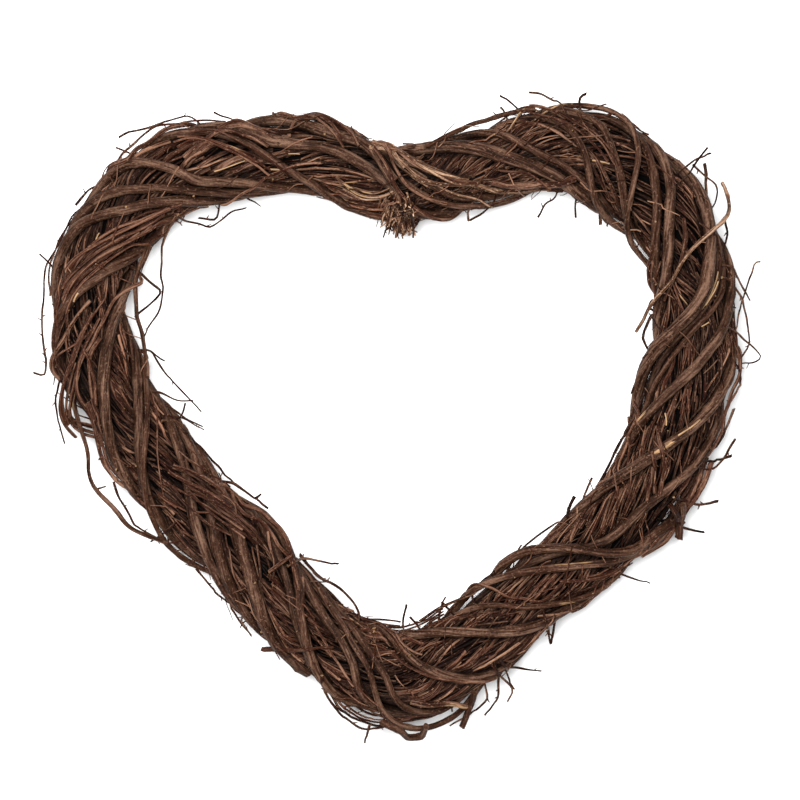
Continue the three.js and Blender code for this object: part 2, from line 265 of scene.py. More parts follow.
def under(s, a, r, slack=0.1):
    """How far out a twig may lie and still pass under the vines; s and a are (twigs, steps)."""
    limit = np.full(s.shape, 1e3)
    for u in laid[:len(VINES)]:
        for lap in range(-2, 3):
            su = s + lap * AROUND
            hit = (su >= u["from"]) & (su <= u["to"])
            if not hit.any():
                continue
            f = np.clip((su - u["from"]) / (u["to"] - u["from"]) * (u["n"] - 1), 0, u["n"] - 1)
            k = np.minimum(u["n"] - 2, np.floor(f).astype(int))
            g = f - k
            mix = lambda w: w[k] + (w[k + 1] - w[k]) * g
            turn = (a - mix(u["angle"])) * RAD
            far = mix(u["off"])
            clear = r + mix(u["radius"]) + slack
            side = far * np.sin(turn) / OBLIQUE
            hit &= (np.cos(turn) >= 0.3) & (np.abs(side) < clear)
            top = far * np.cos(turn) - np.sqrt(np.maximum(clear * clear - side * side, 0))
            limit = np.where(hit, np.minimum(limit, top), limit)
    return limit


# ---- wobble -----------------------------------------------------------------------------
def wander(v, waves, amounts, count=1):
    """Smooth random curves along v (in mm): sums of sines, one row for each of count."""
    v = np.atleast_2d(v)
    total = np.zeros((count, v.shape[1]))
    for wave, amount in zip(waves, amounts):
        k = 2 * np.pi / (wave * rng.uniform(0.75, 1.3, (count, 1)))
        total += amount * rng.uniform(0.5, 1.2, (count, 1)) * np.sin(k * v + rng.uniform(0, 2 * np.pi, (count, 1)))
    return total


def lengths(p):
    d = np.linalg.norm(np.diff(p, axis=-2), axis=-1)
    return np.concatenate([np.zeros(d.shape[:-1] + (1,)), np.cumsum(d, -1)], -1)


def resample(p, step, extra=()):
    """One path and the columns in extra, set at even steps."""
    v = lengths(p)
    n = max(4, int(round(v[-1] / step)) + 1)
    at = np.linspace(0, v[-1], n)
    cols = [np.interp(at, v, c) for c in p.T]
    return np.stack(cols, -1), at, [np.stack([np.interp(at, v, c) for c in np.atleast_2d(e.T)], -1).squeeze() for e in extra]


# ---- mesh building ------------------------------------------------------------------------
class Batch:
    """Tubes gathered into one mesh. Lengths in mm."""

    def __init__(self, name):
        self.name = name
        self.verts, self.tone, self.warm, self.bare, self.grain = [], [], [], [], []
        self.loops, self.totals, self.soft = [], [], []
        self.strips = []      # (first loop of the side faces, rings, sides, lengths, width)
        self.caps = []        # (first loop, corners)
        self.count = 0
        self.loop_count = 0

    def tubes(self, p, r, ref, sides, tone, warm, bare=None, ends=0.8, shape=None, slant=0.35):
        """p (T,n,3), r (T,n), ref (T,n,3) a direction never along the tube, tone and warm (T,)."""
        T, n, _ = p.shape
        m = sides
        tan = np.empty_like(p)
        tan[:, 1:-1] = p[:, 2:] - p[:, :-2]
        tan[:, 0], tan[:, -1] = p[:, 1] - p[:, 0], p[:, -1] - p[:, -2]
        tan /= np.linalg.norm(tan, axis=-1, keepdims=True) + 1e-12
        nor = ref - (ref * tan).sum(-1, keepdims=True) * tan
        nor /= np.linalg.norm(nor, axis=-1, keepdims=True) + 1e-12
        bin_ = np.cross(tan, nor)
        v = lengths(p)
        phi = np.arange(m) / m * 2 * np.pi
        co, si = np.cos(phi), np.sin(phi)
        rr = np.repeat(r[:, :, None], m, 2)
        if shape is not None:
            rr = rr * shape
        ring = (p[:, :, None] + rr[..., None] * (nor[:, :, None] * co[None, None, :, None]
                                                 + bin_[:, :, None] * si[None, None, :, None]))
        # slanting cuts at the two ends
        for end, sign in ((0, -1), (-1, 1)):
            lean = slant * rng.uniform(-1, 1, (T, 1)) * r[:, end][:, None] * np.cos(phi[None] - rng.uniform(0, 6.28, (T, 1)))
            ring[:, end] += lean[..., None] * tan[:, end][:, None]
        ring[..., 2] = np.maximum(ring[..., 2], 0.0)
        base = self.count
        side_v = ring.reshape(-1, 3)
        off = rng.uniform(0, 500, (T, 1, 1))
        gr = np.stack([rr * co, rr * si, np.repeat(v[:, :, None], m, 2) + off], -1).reshape(-1, 3)
        gr[:, :2] += np.repeat(off.reshape(-1) * 0.37, n * m)[:, None]
        b = np.zeros((T, n)) if bare is None else bare
        self.verts.append(side_v)
        self.grain.append(gr)
        self.tone.append(np.repeat(np.broadcast_to(np.asarray(tone, float).reshape(-1, 1), (T, n)).reshape(-1), m))
        self.warm.append(np.repeat(np.broadcast_to(np.asarray(warm, float).reshape(-1, 1), (T, n)).reshape(-1), m))
        self.bare.append(np.repeat(b.reshape(-1), m) if b.ndim == 2 else b.reshape(-1))
        self.count += T * n * m
        # side faces
        t_, i_, j_ = np.meshgrid(np.arange(T), np.arange(n - 1), np.arange(m), indexing="ij")
        idx = lambda i, j: base + (t_ * n + i) * m + (j % m)
        quads = np.stack([idx(i_, j_), idx(i_, j_ + 1), idx(i_ + 1, j_ + 1), idx(i_ + 1, j_)], -1)
        self.loops.append(quads.reshape(-1))
        self.totals.append(np.full(T * (n - 1) * m, 4))
        self.soft.append(np.ones(T * (n - 1) * m, bool))
        for t in range(T):
            self.strips.append((self.loop_count + t * (n - 1) * m * 4, n, m, v[t], 2 * np.pi * float(r[t].mean())))
        self.loop_count += T * (n - 1) * m * 4
        # cut ends: their own corners, so that the cut face has its own colour
        for end in (0, n - 1):
            e = ring[:, end].copy()
            b0 = self.count
            self.verts.append(e.reshape(-1, 3))
            self.grain.append(np.stack([rr[:, end] * co, rr[:, end] * si, np.full((T, m), 900.0 + end)], -1).reshape(-1, 3))
            self.tone.append(np.repeat(np.broadcast_to(np.asarray(tone, float).reshape(-1), (T,)), m))
            self.warm.append(np.repeat(np.broadcast_to(np.asarray(warm, float).reshape(-1), (T,)), m))
            self.bare.append(np.full(T * m, ends))
            self.count += T * m
            order = np.arange(m)[::-1] if end == 0 else np.arange(m)
            face = b0 + np.arange(T)[:, None] * m + order[None]
            self.loops.append(face.reshape(-1))
            self.totals.append(np.full(T, m))
            self.soft.append(np.zeros(T, bool))
            for t in range(T):
                self.caps.append((self.loop_count + t * m, m))
            self.loop_count += T * m

    def pack(self, sigma):
        """Places the strips on shelves of a unit square; returns None if they don't fit."""
        pad = 0.004
        x, y, shelf = pad, pad, 0.0
        out = []
        order = sorted(range(len(self.strips)), key=lambda k: -self.strips[k][4])
        for k in order:
            _, n, m, v, w = self.strips[k]
            h = max(w * sigma, 0.008)
            i = 0
            parts = []
            while i < n - 1:
                room = 1 - pad - x
                take = int(np.searchsorted(v, v[i] + (room - pad) / sigma, side="right") - 1)
                if take < i + 2 and x > pad or (take <= i):
                    if take <= i and x <= pad:
                        take = i + 1
                    else:
                        y += shelf + pad
                        x, shelf = pad, 0.0
                        continue
                take = min(take, n - 1)
                parts.append((i, take, x, y, h))
                x += (v[take] - v[i]) * sigma + pad
                shelf = max(shelf, h)
                i = take
            out.append((k, parts))
            if y + shelf > 1 - 0.03:
                return None
        return out, y + shelf

    def uv(self):
        area = sum(s[3][-1] * s[4] for s in self.strips)
        sigma = math.sqrt(0.9 / max(area, 1))
        for _ in range(60):
            fit = self.pack(sigma)
            if fit:
                break
            sigma *= 0.97
        uv = np.zeros((self.loop_count, 2))
        for k, parts in fit[0]:
            first, n, m, v, w = self.strips[k]
            for i0, i1, x, y, h in parts:
                i = np.arange(i0, i1)
                xa = x + (v[i] - v[i0]) * sigma
                xb = x + (v[i + 1] - v[i0]) * sigma
                j = np.arange(m)
                ya, yb = y + h * j / m, y + h * (j + 1) / m
                quad = np.empty((len(i), m, 4, 2))
                quad[:, :, 0, 0] = quad[:, :, 1, 0] = xa[:, None]
                quad[:, :, 2, 0] = quad[:, :, 3, 0] = xb[:, None]
                quad[:, :, 0, 1] = quad[:, :, 3, 1] = ya[None]
                quad[:, :, 1, 1] = quad[:, :, 2, 1] = yb[None]
                lo = first + i0 * m * 4
                uv[lo:lo + len(i) * m * 4] = quad.reshape(-1, 2)
        # the cut ends share one row at the top
        cols = max(1, len(self.caps))
        for c, (first, m) in enumerate(self.caps):
            a = np.arange(m) / m * 2 * np.pi
            q = min(0.45 / cols, 0.006)
            uv[first:first + m, 0] = (c + 0.5) / cols + q * np.cos(a)
            uv[first:first + m, 1] = 0.985 + 0.006 * np.sin(a)
        return uv

    def build(self, material):
        me = bpy.data.meshes.new(self.name)
        verts = np.concatenate(self.verts) * MM
        loops = np.concatenate(self.loops)
        totals = np.concatenate(self.totals)
        me.vertices.add(len(verts))
        me.vertices.foreach_set("co", verts.ravel().astype(np.float32))
        me.loops.add(len(loops))
        me.loops.foreach_set("vertex_index", loops.astype(np.int32))
        me.polygons.add(len(totals))
        me.polygons.foreach_set("loop_start", np.r_[0, np.cumsum(totals)[:-1]].astype(np.int32))
        me.polygons.foreach_set("loop_total", totals.astype(np.int32))
        me.polygons.foreach_set("use_smooth", np.concatenate(self.soft))
        layer = me.uv_layers.new(name="OFBake")
        layer.data.foreach_set("uv", self.uv().ravel().astype(np.float32))
        for key in ("tone", "warm", "bare"):
            att = me.attributes.new(key, "FLOAT", "POINT")
            att.data.foreach_set("value", np.concatenate(getattr(self, key)).astype(np.float32))
        att = me.attributes.new("grain", "FLOAT_VECTOR", "POINT")
        att.data.foreach_set("vector", np.concatenate(self.grain).ravel().astype(np.float32))
        me.update(calc_edges=True)
        me.validate()
        me.materials.append(material)
        ob = bpy.data.objects.new(self.name, me)
        bpy.context.scene.collection.objects.link(ob)
        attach(ob, "root")
        global triangles
        triangles += int((totals - 2).sum())
        return ob


triangles = 0


# ---- materials ----------------------------------------------------------------------------
def linear(r, g, b):
    f = lambda c: (c / 255 / 12.92) if c / 255 <= 0.04045 else ((c / 255 + 0.055) / 1.055) ** 2.4
    return (f(r), f(g), f(b), 1)


def bark_material(name, dark, mid, light, red, wood, bump, fibre, shine, contrast=1.0):
    mat = bpy.data.materials.new(name)
    mat.use_nodes = True
    nt = mat.node_tree
    nt.nodes.clear()
    new = nt.nodes.new
    link = nt.links.new
    out = new("ShaderNodeOutputMaterial")
    bsdf = new("ShaderNodeBsdfPrincipled")
    link(bsdf.outputs[0], out.inputs[0])

    def attribute(n):
        a = new("ShaderNodeAttribute")
        a.attribute_name = n
        return a

    def maths(op, a, b=None, c=None, clamp=False):
        m = new("ShaderNodeMath")
        m.operation = op
        m.use_clamp = clamp
        for k, val in enumerate((a, b, c)):
            if val is None:
                continue
            if isinstance(val, (int, float)):
                m.inputs[k].default_value = val
            else:
                link(val, m.inputs[k])
        return m.outputs[0]

    def stretched(vec, sx, sz):
        m = new("ShaderNodeVectorMath")
        m.operation = "MULTIPLY"
        link(vec, m.inputs[0])
        m.inputs[1].default_value = (sx, sx, sz)
        return m.outputs[0]

    def noise(vec, detail, rough=0.55):
        n = new("ShaderNodeTexNoise")
        n.inputs["Scale"].default_value = 1.0
        n.inputs["Detail"].default_value = detail
        n.inputs["Roughness"].default_value = rough
        link(vec, n.inputs["Vector"])
        return n.outputs["Fac"]

    def mix(fac, a, b, mode="MIX"):
        m = new("ShaderNodeMix")
        m.data_type = "RGBA"
        m.blend_type = mode
        m.clamp_factor = True
        if isinstance(fac, (int, float)):
            m.inputs[0].default_value = fac
        else:
            link(fac, m.inputs[0])
        for sock, val in ((m.inputs[6], a), (m.inputs[7], b)):
            if isinstance(val, tuple):
                sock.default_value = val
            else:
                link(val, sock)
        return m.outputs[2]

    def spread(value, lo, hi):
        m = new("ShaderNodeMapRange")
        m.inputs["From Min"].default_value = lo
        m.inputs["From Max"].default_value = hi
        link(value, m.inputs["Value"])
        return m.outputs["Result"]

    grain = attribute("grain").outputs["Vector"]
    tone = attribute("tone").outputs["Fac"]
    warm = attribute("warm").outputs["Fac"]
    bare = attribute("bare").outputs["Fac"]
    deep = attribute("deep").outputs["Fac"]

    streak = noise(stretched(grain, 0.95 * fibre, 0.055), 4)      # long ridges in the bark
    thread = noise(stretched(grain, 3.4 * fibre, 0.20), 3)        # its fine fibres
    patch = noise(stretched(grain, 0.22, 0.040), 3)               # weathering along the shoot
    speck = noise(stretched(grain, 1.5, 0.8), 2, 0.4)             # lenticels and dirt
    ring = noise(stretched(grain, 0.5, 0.9), 2)                   # faint wrinkles across

    def about(v, much):
        return maths("MULTIPLY", maths("SUBTRACT", v, 0.5), much)

    value = maths("ADD", maths("ADD", about(streak, 1.0 * contrast), about(thread, 0.65 * contrast)), 0.5)
    value = maths("ADD", value, about(patch, 0.8 * contrast))
    value = maths("ADD", value, about(ring, 0.25))
    value = maths("ADD", value, maths("MULTIPLY", tone, 0.10))
    ramp = new("ShaderNodeValToRGB")
    ramp.color_ramp.elements[0].position = 0.30
    ramp.color_ramp.elements[0].color = dark
    ramp.color_ramp.elements[1].position = 0.74
    ramp.color_ramp.elements[1].color = light
    e = ramp.color_ramp.elements.new(0.52)
    e.color = mid
    link(value, ramp.inputs[0])
    colour = mix(maths("MULTIPLY", warm, 0.8), ramp.outputs[0], mix(0.5, ramp.outputs[0], red, "MIX"))
    # furrows where the bark has shrunk
    furrow = spread(streak, 0.43, 0.34)
    colour = mix(maths("MULTIPLY", furrow, 0.7), colour, dark)
    pit = spread(speck, 0.36, 0.28)
    colour = mix(maths("MULTIPLY", pit, 0.6), colour, dark)
    # pale flecks where the skin has rubbed through
    fleck = spread(speck, 0.62, 0.70)
    colour = mix(maths("MULTIPLY", fleck, 0.55), colour, tuple(min(1.0, c * 1.35) for c in light[:3]) + (1,))
    # cut and peeled wood
    grainy = noise(stretched(grain, 2.6, 0.12), 3)
    wood_col = mix(spread(grainy, 0.34, 0.66), tuple(c * 0.28 for c in wood[:3]) + (1,), wood)
    edge = maths("ADD", maths("ADD", bare, about(thread, 1.3)), about(streak, 0.9))
    colour = mix(spread(edge, 0.40, 0.68), colour, wood_col)
    # each branch a little lighter or darker than the next; for the handfuls of twigs laid deepest the darker tone is
    # painted shade
    gain = new("ShaderNodeHueSaturation")
    link(colour, gain.inputs["Color"])
    tone_gain = maths("MAXIMUM", maths("ADD", 1.0, maths("MULTIPLY", tone, 0.45)), 0.25)
    # painted shade and painted light: the colour darkens with how deep a point lies below what is round it, as shade
    # falls in the gaps, and lightens where it stands out
    depth_shade = maths("MAXIMUM", maths("ADD", 1.06, maths("MULTIPLY", deep, -0.20)), 0.22)
    link(maths("MULTIPLY", tone_gain, depth_shade), gain.inputs["Value"])
    link(gain.outputs[0], bsdf.inputs["Base Color"])

    link(maths("ADD", shine, about(streak, 0.5), clamp=True), bsdf.inputs["Roughness"])
    bsdf.inputs["Specular IOR Level"].default_value = 0.05
    b = new("ShaderNodeBump")
    b.inputs["Strength"].default_value = 1.0
    b.inputs["Distance"].default_value = bump * MM
    height = maths("ADD", maths("MULTIPLY", streak, 0.8), maths("MULTIPLY", thread, 0.4))
    height = maths("ADD", height, maths("MULTIPLY", ring, 0.15))
    link(height, b.inputs["Height"])
    link(b.outputs[0], bsdf.inputs["Normal"])
    return mat


WOOD = linear(146, 115, 84)
thick_bark = bark_material("thick_bark", linear(14, 4, 1), linear(46, 29, 20), linear(88, 66, 53),
                           linear(60, 33, 21), WOOD, 0.6, 0.9, 0.62, 0.95)
strand_bark = bark_material("strand_bark", linear(14, 3, 1), linear(46, 27, 18), linear(102, 76, 61),
                            linear(66, 34, 22), WOOD, 0.5, 1.2, 0.6, 1.2)
twig_bark = bark_material("twig_bark", linear(10, 2, 0), linear(41, 22, 13), linear(101, 75, 59),
                          linear(60, 28, 17), WOOD, 0.4, 1.5, 0.6, 1.35)
light_bark = bark_material("light_bark", linear(28, 16, 9), linear(78, 56, 42), linear(148, 120, 98),
                           linear(88, 53, 35), linear(152, 122, 90), 0.45, 1.2, 0.58, 1.15)
# near-black colours: painted shade for the deep inside of the bundle
core_bark_painted_shade = bark_material("core_bark_painted_shade", linear(2, 1, 0), linear(8, 3, 2), linear(18, 9, 5),
                          linear(12, 5, 3), WOOD, 0.9, 1.2, 0.9)


# ---- the vines ------------------------------------------------------------------------------
def refine(v, step=1.7, wobble=0.35, zig=0.35):
    """The line a laid branch follows, with the small bends of real growth, its radius and its outward side."""
    p = around(v["s"], v["angle"], v["off"])
    ref = radial(v["s"], v["angle"])
    p, at, (r, ref) = resample(p, step, (v["radius"], ref))
    tan = np.gradient(p, axis=0)
    tan /= np.linalg.norm(tan, axis=1, keepdims=True)
    side = np.cross(tan, ref)
    gap = rng.uniform(22, 38)
    knees = np.arange(rng.uniform(5, 20), at[-1], gap)
    knees = knees + rng.uniform(-7, 7, len(knees))
    kink = np.interp(at, knees, zig * rng.choice([-1, 1], len(knees)) * rng.uniform(0.3, 1.3, len(knees))) if len(knees) else 0
    p = p + ref * wander(at, (70, 31), (wobble * 0.4, wobble * 0.3))[0][:, None]
    p = p + side * (wander(at, (85, 37, 19), (wobble, wobble * 0.5, wobble * 0.25))[0] + kink)[:, None]
    return p, at, r, ref, knees


def vine_shape(at, r, knees, sides):
    """Ridges, an oval section, slow swelling and the joints where leaves grew."""
    n = len(at)
    phi = np.arange(sides) / sides * 2 * np.pi
    out = np.ones((n, sides))
    for lobes, amount in ((2, 0.060), (3, 0.040), (5, 0.030)):
        turn = wander(at, (160,), (1.4,))[0] + rng.uniform(0, 6.28)
        out += amount * (1 + 0.6 * wander(at, (45,), (1,))[0])[:, None] * np.cos(lobes * phi[None] + turn[:, None])
    out *= (1 + wander(at, (60, 24, 11), (0.05, 0.03, 0.015))[0])[:, None]
    out += rng.normal(0, 0.014, out.shape)
    for k in knees:
        bump = np.exp(-(((at - k) / 2.1) ** 2))
        where = rng.uniform(0, 6.28)
        out += 0.07 * bump[:, None]
        out += 0.17 * bump[:, None] * np.maximum(0, np.cos(phi - where))[None] ** 3
    return out


def peel(at, sides, spots):
    """Where the bark has come off: (place 0..1, half length mm, centre angle, half width angle)."""
    phi = np.arange(sides) / sides * 2 * np.pi
    bare = np.zeros((len(at), sides))
    for place, half, centre, wide in spots:
        along = np.clip(1.4 - ((at - place * at[-1]) / half) ** 2, 0, 1)
        round_ = np.clip(1.5 - (np.abs((phi - centre + np.pi) % (2 * np.pi) - np.pi) / wide) ** 2, 0, 1)
        bare = np.maximum(bare, along[:, None] * round_[None])
    return bare


PEELS = {
    "vine_06_long": [(0.93, 9, 0.3, 0.5)], "vine_11_thick": [(0.30, 6, 0.2, 0.4)],
    "vine_14_side": [(0.56, 10, 0.8, 0.25)], "vine_15_thin": [(0.36, 5, 0.2, 0.4)],
    "vine_08_thick": [(0.47, 7, 0.0, 0.4)],
}
TONES = {
    "vine_01_thick": (0.1, 0.2), "vine_02_long": (-0.1, 0.3), "vine_03_long": (0.1, 0.2),
    "vine_04_long": (0.0, 0.3), "vine_05_long": (0.15, 0.1), "vine_06_long": (-0.1, 0.4),
    "notch_vine": (0.3, 0.0), "vine_07_right": (0.2, 0.1), "vine_08_thick": (0.25, 0.1),
    "vine_09_thin": (0.0, 0.5), "vine_10_light": (0.0, 0.4), "vine_11_thick": (0.1, 0.1),
    "vine_12_wide": (0.0, 0.2), "vine_13_branchy": (0.1, 0.3), "vine_14_side": (0.2, 0.4),
    "vine_15_thin": (0.1, 0.5), "vine_16_tip": (0.0, 0.4), "vine_17_tip": (-0.1, 0.4),
    "vine_18_thin": (-0.1, 0.6), "vine_19_bundle": (0.1, 0.6), "vine_20_thin": (0.2, 0.3),
}

for v in laid:
    name = v["name"]
    thin = v["radius"].max() < 1.3
    p, at, r, ref, knees = refine(v, wobble=0.15 if thin else 0.4, zig=0.2 if thin else 0.35)
    sides = 14 if r.max() > 1.8 else 10
    b = Batch("bark_" + name)
    shape = vine_shape(at, r, knees, sides)
    bare = peel(at, sides, PEELS.get(name, []))
    tone, warm = TONES.get(name, (0.0, 0.4))
    b.tubes(p[None], r[None], ref[None], sides, [tone], [warm], bare=bare[None],
            ends=0.7 if name.startswith("vine") else 0.15, shape=shape[None])
    # stubs of side shoots at some joints
    for k in knees[rng.random(len(knees)) < 0.25]:
        i = int(np.searchsorted(at, k))
        if i < 3 or i > len(at) - 4:
            continue
        tan = p[i + 1] - p[i - 1]
        tan /= np.linalg.norm(tan)
        side = np.cross(tan, ref[i])
        a = rng.uniform(-1.5, 1.5)
        out = ref[i] * math.cos(a) + side * math.sin(a)
        if out[2] < -0.3:
            continue
        go = out + tan * rng.uniform(0.3, 1.1) * rng.choice([-1, 1])
        go /= np.linalg.norm(go)
        t = np.linspace(0, 1, 5)[:, None]
        long = rng.uniform(1.2, 3.5) + r[i]
        q = p[i] + go * t * long
        b.tubes(q[None], (r[i] * 0.34 * (1 - 0.35 * t[:, 0]))[None], np.broadcast_to(tan, q.shape)[None], 7,
                [tone - 0.2], [warm], ends=0.9)
    slot = "light_bark" if name in ("light_shoot", "vine_10_light") else "bark"
    ob = b.build(light_bark if slot == "light_bark" else thick_bark)
    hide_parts(name)


# ---- the inside of the bundle, coloured near-black as painted shade ---------------------------
def core_mass():
    n, m = 360, 56
    s = np.arange(n) / n * AROUND
    phi = np.arange(m) / m * 360
    lay_angle = 2 * 360 * s / AROUND
    S = np.repeat(s[:, None], m, 1)
    A = phi[None] + lay_angle[:, None]
    half = heart(S)[2]
    ridges = np.zeros((n, m))
    for lobes, amount in ((9, 0.030), (14, 0.028), (23, 0.024)):
        ridges += amount * np.cos(lobes * phi[None] * RAD + 2.2 * np.sin(2 * np.pi * rng.integers(1, 4) * s / AROUND + rng.uniform(0, 6))[:, None])
    rho = half * (0.60 + ridges)
    p = around(S, A, rho).reshape(-1, 3)
    i, j = np.meshgrid(np.arange(n), np.arange(m), indexing="ij")
    idx = lambda a, b: (a % n) * m + b % m
    quads = np.stack([idx(i, j), idx(i + 1, j), idx(i + 1, j + 1), idx(i, j + 1)], -1).reshape(-1, 4)
    me = bpy.data.meshes.new("bundle_inside")
    me.from_pydata((p * MM).tolist(), [], quads.tolist())
    me.polygons.foreach_set("use_smooth", np.ones(len(quads), bool))
    for key, val in (("tone", -0.3), ("warm", 0.5), ("bare", 0.0)):
        att = me.attributes.new(key, "FLOAT", "POINT")
        att.data.foreach_set("value", np.full(n * m, val, np.float32))
    att = me.attributes.new("grain", "FLOAT_VECTOR", "POINT")
    g = np.stack([rho * np.cos(phi * RAD)[None], rho * np.sin(phi * RAD)[None], S], -1).reshape(-1, 3)
    att.data.foreach_set("vector", g.ravel().astype(np.float32))
    me.materials.append(core_bark_painted_shade)
    ob = bpy.data.objects.new("bundle_inside", me)
    bpy.context.scene.collection.objects.link(ob)
    # faces out
    me.update()
    c = me.polygons[0]
    mid = around(np.array([s[0]]), 0.0, np.array([0.0]))[0] * MM
    if (np.array(c.center) - mid) @ np.array(c.normal) < 0:
        me.flip_normals()
    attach(ob, "root")
    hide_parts("inner_bundle")
    global triangles
    triangles += 2 * len(quads)


core_mass()


# ---- what lies where ---------------------------------------------------------------------------
# Three maps over the bundle, by place along it and angle round it: the top of the twigs laid so
# far, the underside of the vines, and the top of the vines.
NS, NA = 1164, 240
_rows = np.arange(NS) / NS * AROUND
_half = heart(_rows)[2]
CORE = 0.60
twig_top = np.tile((CORE * _half)[:, None], (1, NA))
vine_under = np.full((NS, NA), 1e3)
vine_top = np.zeros((NS, NA))


def cell(s, a):
    return (np.mod(s, AROUND) / AROUND * NS).astype(int) % NS, (np.mod(a, 360) / 360 * NA).astype(int) % NA


def across(s, a, rho):
    """Unit step across a path on the bundle's surface, as a distance along and an angle round."""
    ds, dw = np.gradient(s), np.gradient(a) * RAD * rho
    size = np.hypot(ds, dw) + 1e-9
    return -dw / size, ds / size / (rho * RAD)


def paint(field, s, a, rho, r, sign, better):
    ns, na = across(s, a, np.maximum(rho, 5))
    for e in np.linspace(-0.95, 0.95, 9 if r.max() < 1.2 else 15):
        better.at(field, cell(s + e * r * ns, a + e * r * na), rho + sign * r * math.sqrt(1 - e * e))


def resting(field, s, a, r, rho):
    ns, na = across(s, a, rho)
    return np.max([field[cell(s + e * r * ns, a + e * r * na)] + r * math.sqrt(1 - e * e)
                   for e in (-0.9, -0.5, 0, 0.5, 0.9)], 0)


def below(field, s, a, r, rho):
    ns, na = across(s, a, rho)
    return np.min([field[cell(s + e * r * ns, a + e * r * na)] - r * math.sqrt(1 - e * e)
                   for e in (-0.9, -0.5, 0, 0.5, 0.9)], 0)


def windows(x, k, mode="edge"):
    return np.lib.stride_tricks.sliding_window_view(np.pad(x, k, mode=mode), 2 * k + 1)


def stiff(need, reach, blur):
    x = windows(need, reach).max(-1)
    for _ in range(2):
        x = windows(x, blur).mean(-1)
    return x


def duck(rho, limit, blur):
    """Goes under limit, easing down to it and back."""
    x = np.minimum(rho, windows(limit, blur).min(-1))
    for _ in range(2):
        x = windows(x, max(1, blur // 2)).mean(-1)
    return x


for v in laid:
    fine = np.arange(v["from"], v["to"], 0.4)
    on = np.clip((fine - v["from"]) / (v["to"] - v["from"]) * (v["n"] - 1), 0, v["n"] - 1)
    cols = [np.interp(on, np.arange(v["n"]), v[k]) for k in ("angle", "off", "radius")]
    keep = cols[1] - cols[2] < 1.18 * heart(fine)[2]
    if keep.sum() < 3:
        continue
    fine, cols = fine[keep], [c[keep] for c in cols]
    paint(vine_under, fine, cols[0], cols[1], cols[2], -1, np.minimum)
    paint(vine_top, fine, cols[0], cols[1], cols[2], 1, np.maximum)

TIGHT = 0.91        # how full the bundle is, as a share of its half width


def zigzag(v, gap, amount):
    """Straight runs with corners, as twigs grow."""
    n = max(3, int(v[-1] / gap) + 2)
    at = np.sort(rng.uniform(0, v[-1], n))
    return np.interp(v, np.r_[-1, at, v[-1] + 1], rng.uniform(-amount, amount, n + 2))


# Slope of the fine twigs, as seen from the front, by distance round the heart.
GRAIN = [(0, 0.30), (44, 0.60), (78, 0.40), (130, 0.30), (195, 0.34), (239, 0.04), (312, 0.30),
         (369, 0.08), (421, 0.06), (447, 0.28), (500, 0.16), (530, 0.08), (561, -0.03), (588, 0.10),
         (632, 0.30), (690, 0.12), (720, 0.15), (764, 0.36), (798, 0.48), (835, 0.27), (884, 0.35)]
_gs = np.array([g[0] for g in GRAIN] + [GRAIN[0][0] + AROUND])
_gv = np.array([g[1] for g in GRAIN] + [GRAIN[0][1]])


def grain_at(s):
    return np.interp(np.mod(s, AROUND), _gs, _gv)


SECTORS = 24
batches = {}
placed = []


def batch_for(prefix, s):
    key = "%s_%02d" % (prefix, int(np.mod(s, AROUND) / AROUND * SECTORS))
    return batches.setdefault(key, Batch(key))


def twig(s, a, r, prefix="twigs", over=False, level=TIGHT, stand=None, nest=0.3, step=3.6, sides=5,
         tone=0.0, warm=0.5, bare=None, ends=None, reach=5, blur=7, record=True, peeled=None):
    """Lays one twig along s (mm) and a (degrees), which are about 0.7 mm apart, and builds it."""
    half = heart(s)[2]
    guess = 0.85 * half
    if over:
        need = resting(np.maximum(twig_top, vine_top), s, a, r, guess)
        rho = stiff(need, reach, blur) - nest * r
    else:
        rho = stiff(resting(twig_top, s, a, r, guess), reach, blur) - nest * r
        rho = np.minimum(rho, level * half)
        rho = duck(rho, below(vine_under, s, a, r, guess), 5)
        rho = np.maximum(rho, 0.5 * half)
    if stand is not None:
        rho = rho + stand
    if record:
        paint(twig_top, s, a, rho, r, 1, np.maximum)
    p = around(s, a, rho)
    p[:, 2] = np.maximum(p[:, 2], r + 0.02)
    ref = radial(s, a)
    q, at, (rr, ref) = resample(p, step, (r, ref))
    if ends is None:
        ends = rng.choice((0.1, 0.45, 0.9), p=(0.45, 0.3, 0.25))
    shape = None
    if sides > 6:
        phi = np.arange(sides) / sides * 2 * np.pi
        shape = 1 + 0.08 * np.cos(2 * phi[None] + wander(at, (90,), (1.5,))[0][:, None]) \
            + 0.05 * np.cos(3 * phi[None] + wander(at, (70,), (1.5,))[0][:, None]) \
            + wander(at, (28, 11), (0.05, 0.03))[0][:, None]
        shape = shape[None]
    b = None if peeled is None else peel(at, sides, peeled)[None]
    batch_for(prefix, float(np.median(s))).tubes(q[None], rr[None], ref[None], sides, [tone], [warm], bare=b,
                                                 ends=ends, shape=shape, slant=0.6)
    return q


def run_of(s0, a0, long, slope, bend=2.0, corner=0.8):
    """A path of that length through (s0, a0), with the slope seen from the front."""
    n = max(12, int(long / 0.7))
    v = np.linspace(0, long, n)
    lean = np.arctan(slope if np.ndim(slope) else np.full(n, slope)) if not callable(slope) else None
    if lean is None:
        s = s0 + (v - long / 2)
        lean = np.arctan(slope(s))
    s = s0 + np.cumsum(np.cos(lean)) * (v[1] - v[0])
    s -= s[n // 2] - s0
    w = np.cumsum(np.sin(lean)) * (v[1] - v[0])
    w += wander(v, (85, 38), (0.55 * bend, 0.25 * bend))[0] + zigzag(v, 17, corner)
    a = w / (0.85 * heart(s)[2]) / RAD
    a += a0 - a[n // 2]
    return v, s, a


def taper(v, r0, r1):
    r = r0 + (r1 - r0) * v / v[-1]
    if rng.random() < 0.5:
        r = r[::-1].copy()
    return r * (1 + wander(v, (30, 13), (0.06, 0.04))[0])


